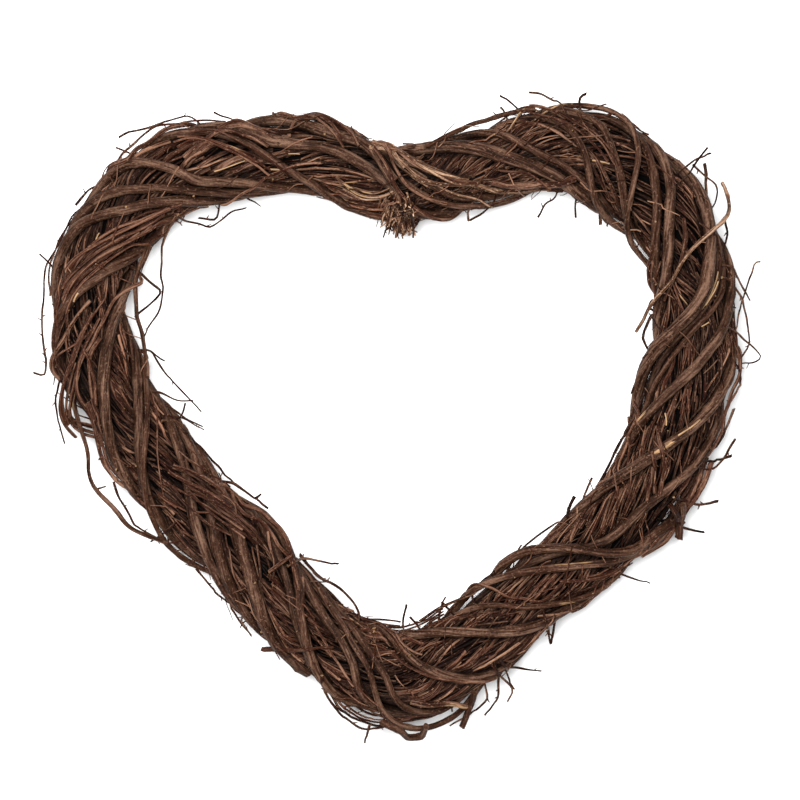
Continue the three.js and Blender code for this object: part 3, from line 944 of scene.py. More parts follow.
# How thick the fine twigs are, by distance round the heart: coarsest at the top left.
COARSE = [(0, 1.0), (60, 0.9), (130, 0.85), (250, 0.95), (400, 0.9), (500, 1.0), (640, 1.0), (720, 1.2),
          (790, 1.55), (850, 1.55), (885, 1.15)]
_cs = np.array([g[0] for g in COARSE] + [COARSE[0][0] + AROUND])
_cv = np.array([g[1] for g in COARSE] + [COARSE[0][1]])


def roomy(tries, level, front=0.0):
    """The place, of those tried, where most is missing before the bundle is full."""
    s = rng.uniform(0, AROUND, tries)
    a = np.where(rng.random(tries) < front, rng.uniform(-95, 95, tries), rng.uniform(0, 360, tries))
    half = heart(s)[2]
    at = cell(s, a)
    missing = np.minimum(level, (vine_under[at] - 1.2) / half) - twig_top[at] / half
    k = int(np.argmax(missing))
    return s[k], a[k], missing[k]


def handful(count, long, thick, turn, level, tries, loose=1.0, prefix="twigs", tones=(-0.35, 0.35), pale=0.08,
            front=0.3):
    """Twigs are wound in by the handful: a few side by side, not quite parallel."""
    done = 0
    while done < count:
        s0, a0, _ = roomy(tries, level, front)
        lean = rng.normal(0, turn)
        if rng.random() < 0.10:
            lean = rng.uniform(-0.9, 0.5)
        group = int(rng.integers(2, 8))
        side = 0.0
        hue, shade = rng.normal(0.5, 0.3), rng.uniform(*tones)
        ell = rng.uniform(*long)
        size = np.interp(np.mod(s0, AROUND), _cs, _cv)
        for _ in range(group):
            extra = lean + rng.normal(0, 0.06 * loose)
            v, s, a = run_of(s0 + rng.normal(0, 14), a0 + side, ell * rng.uniform(0.7, 1.2),
                             lambda q, extra=extra: grain_at(q) + extra, bend=1.4, corner=0.7)
            thin = rng.uniform(*thick) * size
            r = taper(v, thin, thin * rng.uniform(0.55, 0.9))
            up = np.clip((np.abs(v / v[-1] - 0.5) - 0.42) / 0.08, 0, 1) ** 2 * rng.uniform(-0.4, 1.0)
            own = rng.normal(0, 0.32) + (rng.uniform(0.7, 1.5) if rng.random() < pale else 0)
            twig(s, a, r, prefix=prefix, level=level + rng.normal(0, 0.018), stand=up,
                 tone=shade + own, warm=float(np.clip(hue + rng.normal(0, 0.25), 0, 1)),
                 peeled=[(rng.uniform(0.1, 0.9), rng.uniform(3, 12), rng.uniform(-0.8, 0.8), rng.uniform(0.4, 0.9))]
                 if rng.random() < 0.5 * pale else None)
            side += rng.choice((-1, 1), p=(0.25, 0.75)) * rng.uniform(2.1, 3.4) * thin / 16 / RAD
            done += 1


# the handfuls laid first lie deepest and get the darkest tones, as painted shade for their depth
handful(190, (90, 190), (0.75, 1.25), 0.12, 0.74, 30, tones=(-1.5, -1.0), pale=0.0, front=0.0)
handful(330, (90, 190), (0.50, 0.85), 0.13, 0.83, 60, tones=(-1.0, -0.4), pale=0.03)
handful(400, (60, 170), (0.40, 0.75), 0.15, TIGHT, 150, loose=1.4, tones=(-0.5, 0.35), pale=0.12)
handful(170, (35, 90), (0.40, 0.85), 0.18, TIGHT + 0.03, 500, loose=1.6, tones=(-0.4, 0.5), pale=0.16, front=0.9)

# ---- strands seen among the vines -----------------------------------------------------------------
# (radius, shade, warmth, where peeled, then place round the heart and offset from its middle line)
STRANDS = [
    (0.85, 0.10, 0.55, 0.0, 731.5, 12.5, 741.9, 5.5, 750.5, 0.3, 759.2, -4.9, 767.9, -9.2, 780,
     -12.7, 793, -15.3, 806, -16.1),
    (0.80, 0.30, 0.60, 0.0, 735, 11.5, 740.1, 9, 750.5, 3.8, 759.2, -1.4, 769.6, -6.6, 780, -10.1, 790.4,
     -13.5, 800.8, -15.3),
    (0.90, 0.00, 0.70, 0.0, 733.2, 9, 741.9, 2.1, 750.5, -4, 760.9, -9.2, 771.3, -13.5, 784.3, -16.1),
    (0.75, 0.35, 0.45, 0.0, 737, 12.5, 743.6, 9, 754, 4.7, 762.7, 0.3, 771.3, -4, 783.5, -8.3, 795.6, -11.8,
     807.7, -15.3),
    (0.80, 0.15, 0.85, 0.0, 738.4, 12.5, 750.5, 6.4, 762.7, 1.2, 773.1, -4, 781.7, -9.2, 793, -12.7),
    (0.70, 0.40, 0.50, 0.0, 731.5, 8.1, 740.1, 2.1, 748.8, -4.9, 754, -9.2, 759.2, -12.7),
    (0.75, 0.20, 0.60, 0.0, 728, 13.3, 736.7, 8.1, 747.1, 1.2, 756.6, -4.9, 765.3, -10.1, 776.5, -14),
    (0.80, 0.95, 0.25, 0.0, 914, 12, 923.9, 12.8, 932.5, 11.2, 941.2, 6.8, 946.4, 1.2),
    (0.75, 0.80, 0.35, 0.0, 915, 11.5, 926.5, 11.5, 934.3, 8.1, 941.2, 1.2, 946.4, -4.4),
    (0.70, 0.70, 0.40, 0.0, 909, 10.5, 920.4, 11.8, 930.8, 9.4, 939.5, 3.8, 945.1, -3.1),
    (0.85, 0.90, 0.25, 0.0, -5.2, 12, 0, 12.5, 5.2, 11.5, 11.3, 8.1, 20.8, 0.3, 30.3, -7.5, 39, -12.7),
    (0.70, 0.75, 0.40, 0.0, -3.5, 10.5, 0, 11, 8.7, 9, 17.3, 4.2, 28.6, -4.4, 40.7, -11.4),
    (0.75, 0.65, 0.45, 0.0, -5.2, 12.5, 0, 9.9, 5.2, 8.1, 9.5, 4.7, 17.3, -3.1, 26, -11.8, 32.9, -16.1),
    (0.65, 0.85, 0.30, 0.0, -2.6, 12, 3.5, 12.8, 9.5, 11.8, 16.5, 6.8, 25.1, -0.5, 34.7, -6.6),
    (0.45, 0.95, 0.20, 0.8, 187.2, 14.2, 194.1, 9.4, 199.3, 6, 204.5, 2.1),
    (0.40, 0.95, 0.20, 0.8, 191.5, 12.5, 197.6, 7.7, 202.8, 3.8),
    (0.40, 0.85, 0.25, 0.6, 210.6, 6.8, 213.6, 1.6),
    (0.55, 0.95, 0.20, 0.7, 259.1, 9.4, 264.3, 5.5, 270.4, 0.8),
    (0.50, 0.80, 0.15, 0.6, 261.3, -10.1, 264.3, -8.5, 267.8, -7.7),
    (0.60, 0.85, 0.20, 0.7, 102.3, -2.9, 106.6, -1.8, 111.8, -0.5),
    (0.55, 0.90, 0.20, 0.7, 59.8, 15.1, 63.7, 17.9),
    (0.50, 0.85, 0.20, 0.6, 71.5, 16.8, 76.7, 20.1),
    (0.55, 0.90, 0.20, 0.7, 727.3, 6.4, 731.5, 4.2),
    (0.45, 0.90, 0.20, 0.7, 758.3, 3.1, 762.7, 4.7),
    (0.45, 0.85, 0.30, 0.5, 831.6, -4.9, 839.8, -4.2, 848.5, -2.7),
    (0.60, 1.00, 0.20, 0.8, 861.5, -9.2, 869.3, -8.1),
    (0.40, 0.90, 0.20, 0.6, 871, 0.5, 877.1, 0.7),
    (0.45, 0.90, 0.25, 0.6, 684.7, 16.8, 693.3, 10.7, 701.1, 5.1, 706.3, 0.3),
    (1.00, 0.55, 0.50, 0.0, 908, 12, 917.8, 13, 930.8, 12, 937, 7.5, 944, 0, 962.7, -8.5),
    (0.80, 0.85, 0.35, 0.0, 909, 9.5, 920, 11.5, 929, 10.5, 934, 7),
    (0.85, 0.60, 0.50, 0.0, 909, 13, 920, 12.5, 933, 8.5, 944, 1, 957, -6),
    (0.70, 0.80, 0.40, 0.0, 916, 12.8, 926, 13, 938, 11.5, 948, 5, 962, -4),
    (0.95, 0.45, 0.45, 0.0, 919, 12, 930, 12.6, 942, 8, 954, -1, 970, -10),
    (0.75, 0.65, 0.50, 0.0, 924, 11.5, 934, 11.8, 946, 5.5, 958, -4.5, 968, -9.5),
    (1.10, 0.20, 0.45, 0.0, 911, 10, 922, 6, 931, -3, 938, -12, 944, -18),
    (0.90, 0.30, 0.55, 0.0, 915, 12, 926, 8.5, 936, -1, 944, -9, 952, -15),
    (0.85, 0.75, 0.30, 0.2, 901, -9.5, 912, -10.8, 921, -9, 929, -4),
    (0.70, 0.55, 0.40, 0.2, 899, -7.5, 909, -8.8, 919, -7.5, 927, -2),
    (0.80, 0.35, 0.40, 0.0, 903, -13, 914, -13.5, 924, -12, 932, -8),
    (0.65, 0.60, 0.35, 0.0, 905, -11.5, 915, -12, 925, -9.5),
    (1.00, 0.05, 0.40, 0.0, 873.6, 17.7, 884, 20.8, 894.4, 21.3, 904.8, 18.2, 915.2, 13, 925.6, 7.8),
    (1.05, 0.35, 0.45, 0.0, 676, 21.8, 686.4, 15.6, 694.2, 10.4, 699.4, 6.2, 704.6, 0, 709.8, -4.2, 717.6, -9.4,
     728, -14.6, 738.4, -19.8, 748.8, -21.8),
    (0.70, 0.00, 0.90, 0.0, 702, 20.8, 708.2, 5.2, 715, -5.2),
    (1.20, 0.10, 0.30, 0.0, 704.6, 19.8, 717.6, 7.8, 728, -2.6),
    (1.30, 0.15, 0.35, 0.0, 676, 13, 685.4, 9.4, 695.8, 4.2, 702, 0, 707.2, -5.2),
    (0.95, 0.05, 0.50, 0.0, 676, 9.4, 686.4, 4.2, 696.8, 2.6, 702, 4.2),
    (0.95, 0.10, 0.80, 0.0, 733.2, 12.5, 748.8, 2.6, 764.4, -6.2, 780, -13, 795.6, -16.6),
    (0.90, 0.20, 0.75, 0.0, 727, 12, 731, 10, 747, 0, 762, -8.6, 778, -15.4, 790, -18.5),
    (0.95, 0.05, 0.85, 0.0, 741, 12.5, 752, 5, 767, -3.8, 783, -10.4, 800, -14),
    (0.85, 0.15, 0.75, 0.0, 716, 13.5, 729, 7, 744, -3, 760, -11.5, 774, -18),
    (1.15, 0.10, 0.35, 0.0, 795.6, 18.2, 803.4, 21.8, 811.2, 23.4, 821.6, 22),
    (1.20, 0.15, 0.40, 0.0, 836, 14.5, 845, 15, 855.4, 12, 863.2, 7.8),
    (1.15, 0.05, 0.30, 0.0, 832, 14, 842, 13.5, 852, 9.5, 861, 4),
    (1.10, -0.05, 0.45, 0.0, 838, 15, 849, 16.5, 860, 14.5, 868, 11),
    (0.65, 0.45, 0.55, 0.0, 832, -21.8, 852.8, -15.6, 863.2, -10.4, 873.6, -6.2, 889.2, -2.6),
    (2.00, 0.20, 0.30, 0.0, 46.8, -11.4, 57.2, -14.3, 67.6, -16, 78, -16.5, 96, -15.5),
    (0.70, 0.20, 0.60, 0.0, 52, -6.2, 65, -10.4, 78, -17.7),
    (0.90, 0.05, 0.50, 0.0, 228.8, 23.5, 239.2, 24.6, 254.8, 24.6, 270.4, 21.8),
    (0.75, 0.15, 0.75, 0.0, 374.4, 7.8, 382.2, 4.2, 387.4, -4.2, 392.6, -10.4, 395.2, -16.6),
    (0.90, 0.00, 0.50, 0.0, 270.4, -21.5, 296.4, -22.5, 312, -20.4),
    (1.40, 0.10, 0.30, 0.0, 270.4, -11.4, 291.2, 4.2),
    (1.30, 0.20, 0.35, 0.0, 283.4, -7.8, 301.6, 6.2),
    (1.40, 0.00, 0.40, 0.0, 283.4, 0, 301.6, 7.8),
    (1.20, 0.10, 0.45, 0.0, 291.2, -4.2, 306.8, 4.2),
    (0.80, 0.45, 0.50, 0.0, 426, 19, 437, 12, 450, 2, 462, -8, 471, -14),
    (0.75, 0.50, 0.50, 0.0, 484, 13, 494, 7.8, 507, 1, 522.6, -6.2, 540.8, -15.6),
    (1.10, 0.00, 0.60, 0.0, 540.8, -11.4, 551.2, -16.6, 561.6, -20.8, 577.2, -23.4, 592.8, -22.9, 600.6, -19.8,
     605.8, -16.6),
    (1.00, 0.10, 0.60, 0.0, 537, -9, 550, -14.5, 564, -19, 580, -21, 596, -20, 606, -15),
    (0.90, 0.30, 0.30, 0.0, 552.2, -15.6, 554.3, -2.6),
    (1.60, 0.35, 0.10, 0.7, 447, 20, 461, 15),
]


# thick short lengths of the inner bundle, seen between the vines at the top left
INNER = [
    (2.00, 0.15, 0.30, 0.0, 815, 2, 832, 11.5, 842, 15), (1.70, 0.30, 0.30, 0.0, 819, 8, 834, 13.5, 848, 17),
    (2.00, 0.05, 0.35, 0.0, 828, -7.5, 845, -1, 864, 4.5), (1.80, 0.20, 0.30, 0.0, 836, -10, 852, -5, 868, -1),
    (1.60, 0.40, 0.30, 0.0, 806, 11.5, 820, 14, 836, 17), (1.30, 0.10, 0.40, 0.0, 824, 0, 840, 6, 856, 10),
    (1.50, 0.25, 0.35, 0.0, 800, -4, 815, 3, 828, 8), (1.40, 0.00, 0.45, 0.0, 842, 6, 858, 9, 872, 13),
    (1.20, 0.35, 0.35, 0.0, 848, -3, 866, 1, 880, 5), (1.25, 0.10, 0.40, 0.0, 790, -9, 806, -2, 820, 5),
]


def strand(row, step=2.2, sides=8, prefix="strands", soften=0.5, over=True):
    r, shade, hue, off_bark, *at = row
    if shade > 0.5 and prefix == "strands":
        prefix, shade = "pale_strands", shade - 0.6
    s, d = np.array(at[::2], float), np.array(at[1::2], float)
    if s[0] > s[-1]:
        s, d = s[::-1], d[::-1]
    half = heart(s)[2]
    a = np.arcsin(np.clip(d / (1.03 * half), -0.985, 0.985)) / RAD
    out = np.maximum(0, np.abs(d) - 0.99 * half)
    # the ends go on round the side, or in among the twigs
    for end in (0, -1):
        way = -1 if end == 0 else 1
        if abs(a[end]) > 52:
            s = np.insert(s, 0, s[0] - 14) if end == 0 else np.append(s, s[-1] + 14)
            turn = math.copysign(48, a[end])
            a = np.insert(a, 0, a[0] + turn) if end == 0 else np.append(a, a[-1] + turn)
            out = np.insert(out, 0, 0) if end == 0 else np.append(out, 0)
    v = np.arange(s[0], s[-1], 0.6)
    angle, stand = smooth(s, a)(v), smooth(s, out)(v)
    angle = angle + (wander(v - v[0], (60, 25), (1.6, 0.8))[0] + zigzag(v - v[0], 16, 1.2)) * soften
    rad = r * (1 + wander(v - v[0], (34, 15), (0.07, 0.04))[0])
    places = [(rng.uniform(0.3, 0.7), 6 + 12 * off_bark, rng.uniform(-0.4, 0.4), 0.5 + off_bark)] if off_bark else None
    edge = np.minimum(v - v[0], v[-1] - v)
    dip = -1.2 * r * np.clip(1 - edge / 7, 0, 1)
    twig(v, angle, rad, prefix=prefix, over=over, level=0.97, stand=stand + dip, nest=0.15, step=step, sides=sides,
         tone=shade, warm=hue, ends=0.95 if off_bark else None, reach=3, blur=5, peeled=places)


for row in INNER:
    strand(row, over=False)
for row in STRANDS:
    strand(row)

# others like them, all round: a few side by side, most of them wound the way the vines go
made = 0
while made < 130:
    s0, a0, _ = roomy(6, 1.0, 0.6)
    kind = rng.random()
    slope = rng.normal(-0.62, 0.10) if kind < 0.6 else (float(grain_at(s0)) + rng.normal(0.05, 0.10) if kind < 0.93
                                                        else rng.uniform(-1.1, 1.1))
    beneath = 0.6 <= kind < 0.93 or rng.random() < 0.5
    long = rng.uniform(40, 120) if beneath else rng.uniform(25, 75)
    hue, shade, side = rng.normal(0.5, 0.2), rng.normal(0.0, 0.2), 0.0
    for _ in range(int(rng.integers(1, 5)) if kind < 0.93 else 1):
        v, s, a = run_of(s0 + rng.normal(0, 6), a0 + side, long * rng.uniform(0.7, 1.2), slope + rng.normal(0, 0.03),
                         bend=1.0, corner=0.6)
        thin = rng.uniform(0.5, 1.15)
        r = taper(v, thin, thin * rng.uniform(0.5, 0.9))
        edge = np.minimum(v, v[-1] - v)
        dip = -1.2 * thin * np.clip(1 - edge / 8, 0, 1) * (rng.random() < 0.8)
        twig(s, a, r, prefix="strands", over=not beneath, level=0.95, stand=dip, step=2.8, sides=7,
             tone=shade + rng.normal(0.0, 0.25), warm=float(np.clip(hue + rng.normal(0, 0.15), 0, 1)), nest=0.2,
             peeled=[(rng.uniform(0.1, 0.9), rng.uniform(3, 9), rng.uniform(-1, 1), rng.uniform(0.3, 0.8))]
             if rng.random() < 0.12 else None)
        side += rng.choice((-1, 1)) * rng.uniform(2.2, 3.2) * thin / 18 / RAD
        made += 1

# twigs that lie over the thick vine low on the left
for k in range(16):
    s0 = rng.uniform(566, 600)
    d0 = rng.uniform(-17, -5)
    strand((rng.uniform(0.5, 0.95), rng.normal(0, 0.25), 0.5, 0.0, s0, d0, s0 + rng.uniform(14, 22), d0 + rng.uniform(2, 6),
            s0 + rng.uniform(28, 46), d0 + rng.uniform(6, 11)), step=2.6, sides=6)

# short thin bits, paler than the rest, that lie on top
for k in range(240):
    s0, a0, _ = roomy(2, 1.0, 0.7)
    slope = float(grain_at(s0)) + rng.normal(0, 0.22) if rng.random() < 0.75 else math.tan(rng.uniform(-1.35, 1.35))
    long = rng.uniform(7, 32)
    v, s, a = run_of(s0, a0, long, slope, bend=1.2, corner=0.9)
    thin = rng.uniform(0.28, 0.55)
    r = taper(v, thin, thin * 0.6)
    t = v / v[-1]
    lift = np.where(t < 0.5, rng.uniform(-0.8, 0.8), rng.uniform(-0.8, 0.8)) * 2.2 * np.clip(np.abs(t - 0.5) * 2.6 - 0.5, 0, 1) ** 2
    twig(s, a, r, prefix="loose", over=True, stand=lift, nest=0.1, step=2.6, sides=5, reach=2, blur=4,
         tone=rng.normal(0.25, 0.5), warm=float(np.clip(rng.normal(0.6, 0.25), 0, 1)), record=False)

# ---- stray shoots ----------------------------------------------------------------------------------
# (radius, 1 if it lies over the bundle or 0 if it comes from under it, then its corners x, y)
STRAYS = [
    (0.95, 0, 144.5, -55, 152, -56.5, 162.4, -58.1),
    (1.05, 1, -68, -118.9, -53.9, -118.7, -42, -117.9, -31, -116.6),
    (0.83, 1, -51.3, 155.7, -35.2, 155.7, -23.3, 152, -14.4, 146.8),
    (0.62, 0, -142.9, 147.3, -135.6, 150.5, -123.6, 153.6, -107, 158.3, -101.3, 155.1),
    (0.52, 0, -144.9, 141.6, -135.6, 138.5),
    (0.68, 1, -147, 127.6, -140.8, 140.1, -123.6, 152.5, -107, 155.7, -86.7, 155.1),
    (0.68, 0, -165.2, 112, -157.9, 120.8, -152.7, 122.4),
    (0.62, 1, -187.1, 24.6, -180.9, 22.4, -180.8, 29.3, -182.9, 58.4, -180.3, 80.3, -166.8, 106.3, -157.9, 113),
    (0.52, 0, -178.7, 64.7, -179.3, 80.3, -174.6, 94.3, -164.2, 107.3),
    (0.52, 0, -183.9, 86.5, -178.7, 81.8, -175.1, 76.1),
    (0.52, 1, -93.5, 159.8, -88.3, 157.7, -82, 156.2),
    (0.62, 0, -109.6, 103.7, -95, 99.5, -84.6, 108.9, -76.3, 110.4),
    (0.62, 0, -101.3, 105.2, -92.4, 104.2, -90.3, 117.7, -96.1, 122.4),
    (0.52, 0, -76.3, 115.1, -69, 111.5),
    (0.68, 0, -115.3, 102.6, -120.5, 93.3, -120.5, 68.3, -122.1, 56.9, -129.9, 43.9),
    (0.78, 0, -139.7, 82.3, -132.5, 77.1, -120.5, 67.3, -128.8, 58.9, -134.5, 53.2),
    (0.62, 0, -126.2, 37.1, -122.6, 32.9, -118.4, 30.3),
    (0.62, 0, -125.7, 36.6, -117.9, 23.6, -109.1, 14.2, -99.7, 3.8),
    (0.62, 0, -123.6, 15.3, -111.7, 10.6, -103.3, 10.6),
    (0.52, 0, -108, 9, -109.6, 2.8, -112.7, 0.7), (0.62, 0, -117.9, 8, -109.6, 1.7, -98.7, -4),
    (0.52, 0, -110.6, 1.7, -98.1, -5.5),
    (0.78, 1, -114.8, 0.7, -101.8, -13.3, -90.9, -24.3, -83.1, -32.6),
    (0.62, 1, -174.1, 19.9, -176.1, 11.1, -175.6, 4.3, -170.9, -12.3),
    (0.57, 0, -173.5, 22, -165.2, 2.3), (0.73, 2, -155.9, -36.2, -149.6, -34.1),
    (0.66, 0, -146, -32.1, -142.9, -41.4, -133, -55.5, -123.6, -61.7, -115.3, -64.3),
    (0.73, 1, -120.5, -59.6, -126.2, -63.8),
    (0.83, 1, -91.4, -31, -84.1, -32.1, -76.8, -37.3, -64.9, -46.1),
    (0.78, 2, -72.1, -40.9, -68.5, -37.8), (0.62, 0, -102.8, -77.3, -91.9, -90.8, -84.1, -96),
    (0.62, 0, -85.7, -95.5, -78.9, -105.4, -74.2, -112.7),
    (0.78, 1, -46.7, -71.1, -36.3, -73.1, -27.9, -75.2),
    (0.88, 1, -48.7, -70, -40.4, -79.9, -29, -87.2, -20.1, -95.5, -17, -100.7),
    (0.73, 0, -40.4, -82.5, -24.3, -98.6, -14.4, -103.3, 3.8, -104.9),
    (0.73, 0, -36.3, -90.8, -21.7, -101.7, -7.1, -105.9, 3.8, -106.9),
    (0.62, 0, 6.4, -95.5, 4.8, -106.4), (0.62, 0, 8.5, -101.7, 14.7, -109),
    (0.78, 0, 13.7, -104.3, 22, -98.1, 40.7, -90.3, 55.8, -75.7, 70.3, -63.8, 85.4, -51.8),
    (0.68, 0, 23, -105.4, 25.1, -93.4, 27.2, -91.3), (0.68, 0, 25.1, -93.9, 31.3, -100.2),
    (0.73, 0, 55.3, -84.6, 60.5, -74.2, 66.7, -64.3),
    (0.62, 0, 40.7, -90.3, 45.9, -83, 53.2, -78.9),
    (0.68, 1, 77.1, -98.6, 79.2, -107.5, 81.8, -116.3),
    (0.68, 1, 81.8, -116.3, 83.9, -105.9, 84.4, -102.8),
    (0.62, 1, 118.2, -80.4, 128.1, -83, 133.3, -84.6),
    (0.68, 1, 75.5, -112.7, 66.2, -121, 60.5, -125.7),
    (0.68, 1, 59.9, -128.3, 69.8, -130.3, 77.1, -130.3), (0.62, 1, 58.4, -130.3, 63.1, -140.7),
    (0.73, 1, 55.8, -133.5, 62, -140.2, 58.9, -147),
    (0.73, 1, 54.7, -133.5, 54.2, -144.4, 46.9, -153.7),
    (0.62, 0, 49.5, -145.4, 39.1, -152.7, 28.7, -159.5),
    (0.73, 1, -68.5, -109.5, -50.8, -126.2, -39.4, -132.9),
    (0.62, 0, -79.9, -103.8, -74.2, -112.7), (1.04, 1, -69, -118.9, -63.3, -119.9, -44.1, -118.9),
    (0.73, 1, -37.8, -134.5, -33.1, -145.4, -27.4, -153.2, -16, -159.5, -6.1, -160, 0.1, -157.9),
    (0.73, 2, -12.3, -157.9, -13.9, -162.6, -14.9, -167.8),
    (0.68, 0, 134.8, 62.6, 131.7, 59.5, 134.8, 56.3),
    (0.83, 0, 134.3, 55.3, 128.6, 44.4, 133.8, 34), (0.78, 0, 133.8, 32.9, 126, 20.5, 123.9, 13.7),
    (0.94, 0, 133.8, 24.6, 128.1, 9, 119.2, -9.2, 112.5, -21.7, 104.7, -37.3),
    (0.68, 0, 102.6, -30, 97.9, -42.5), (0.99, 1, 93.7, -39.3, 89.1, -49.7),
    (0.83, 0, 175.9, 62.6, 178.5, 36.6, 180.1, 19.4, 172.8, 5.9),
    (0.57, 1, 178, 46.5, 191.5, 32.4, 187.3, 29.3, 180.1, 29.3),
    (0.52, 0, 191, 82.9, 187.9, 82.9, 178.5, 52.2, 178, 47), (0.62, 1, 174.9, 79.7, 185.8, 62.1),
    (0.62, 1, 174.3, 73, 182.1, 63.6, 184.7, 39.2, 179.5, 29.8),
    (0.68, 0, 176.4, 5.9, 173.3, -4, 166.5, -14.9),
    (0.68, 1, 176.9, -9.7, 172.8, -17, 165.5, -25.3), (0.73, 1, 175.4, -18.5, 166.5, -21.1),
    (0.57, 0, 55.3, 169.2, 65.7, 161.4), (0.57, 0, 55.3, 162.9, 57.9, 159.3),
    (0.62, 1, 70.3, 170.2, 76.6, 170.2, 86.5, 164.5),
    (0.73, 1, 100, 169.7, 96.3, 167.6, 97.4, 162.9), (0.62, 1, 162.4, 141.6, 153.5, 128.6),
    (0.62, 0, 164.5, 138.5, 156.7, 135.9, 149.9, 129.7),
    (0.57, 1, 155.1, 132.8, 168.1, 121.3, 166.5, 112), (0.88, 1, 161.3, 133.3, 163.4, 115.6),
    (0.62, 1, 171.7, 105.7, 174.3, 97.9, 170.2, 83.9),
    (0.57, 0, 74.5, 105.2, 78.7, 113, 83.3, 114.1), (0.62, 0, 94.8, 105.2, 94.3, 113),
    (0.78, 0, 107.3, 101.6, 107.3, 121.3), (0.62, 0, 109.3, 107.8, 118.2, 99, 127.5, 94.8),
    (0.68, 0, 38.6, 103.7, 38.1, 108.3, 41.2, 115.6),
    (0.62, 0, 39.7, 104.2, 46.9, 107.8, 52.1, 113),
    (0.9, 1, 6.9, 141.1, 20.4, 143.7),
    (0.83, 0, 11.1, 106.3, 28.2, 107.3, 44.3, 110.9, 65.7, 115.1),
    (0.78, 1, 168.6, -41.9, 157.2, -44.5), (2.08, 1, 148.3, -61.7, 148.9, -52.9),
    (0.83, 0, 133.8, 37.1, 130.7, 31.4), (0.62, 1, -0.9, 116.7, -1.4, 107.3, -4, 99.5),
    (0.62, 1, 1.2, 115.6, 1.2, 107.3, -0.4, 97.9), (0.68, 1, 3.3, 116.7, 4.3, 108.3, 3.3, 96.9),
    (0.83, 1, 7.4, 114.6, 10, 103.1, 9.5, 94.8), (0.62, 1, 5.3, 114.6, 6.9, 106.3, 5.9, 99.5),
    (0.52, 1, 2.2, 112.5, -0.4, 104.2, -2.5, 95.9), (0.52, 1, 4.3, 111.5, 5.3, 104.2, 7.4, 98.5),
    (0.57, 1, 0.1, 114.6, 2.7, 107.3, 1.7, 101.1), (0.68, 0, 1.2, 114.6, 4.8, 103.1, 4.8, 95.9),
    (0.52, 0, -3, 111.5, -5.1, 105.7, -7.1, 102.1),
    (0.52, 0, 8.5, 110.4, 11.1, 105.2, 12.1, 101.1),
]
_line = np.stack([heart(_rows)[0] + TO_CENTRE[0], heart(_rows)[1] + TO_CENTRE[1]], -1)


def locate(xy):
    """Distance round the heart and offset from its middle line of points in plan."""
    gap = ((xy[:, None] - _line[None]) ** 2).sum(-1)
    k = gap.argmin(1)
    s = _rows[k]
    x, y, half, ox, oy = heart(s)
    d = (xy[:, 0] - x - TO_CENTRE[0]) * ox + (xy[:, 1] - y - TO_CENTRE[1]) * oy
    return s, d, half


def to_bundle(xy):
    """Goes on from the nearer end of a shoot into the bundle that it grows out of."""
    s, d, half = locate(xy)
    if (np.abs(d) < 0.86 * half).any():
        return xy
    first = abs(d[0]) - half[0] < abs(d[-1]) - half[-1]
    if not first:
        xy, s, d, half = xy[::-1], s[::-1], d[::-1], half[::-1]
    *_, ox, oy = heart(s[:1])
    deep = abs(d[0]) - 0.76 * half[0]
    ahead = (xy[0] - xy[1]) / np.hypot(*(xy[0] - xy[1]))
    root = xy[0] - np.array([ox[0], oy[0]]) * math.copysign(deep, d[0]) + ahead * min(0.5 * deep, 4.0)
    xy = np.concatenate([root[None], xy])
    return xy if first else xy[::-1]


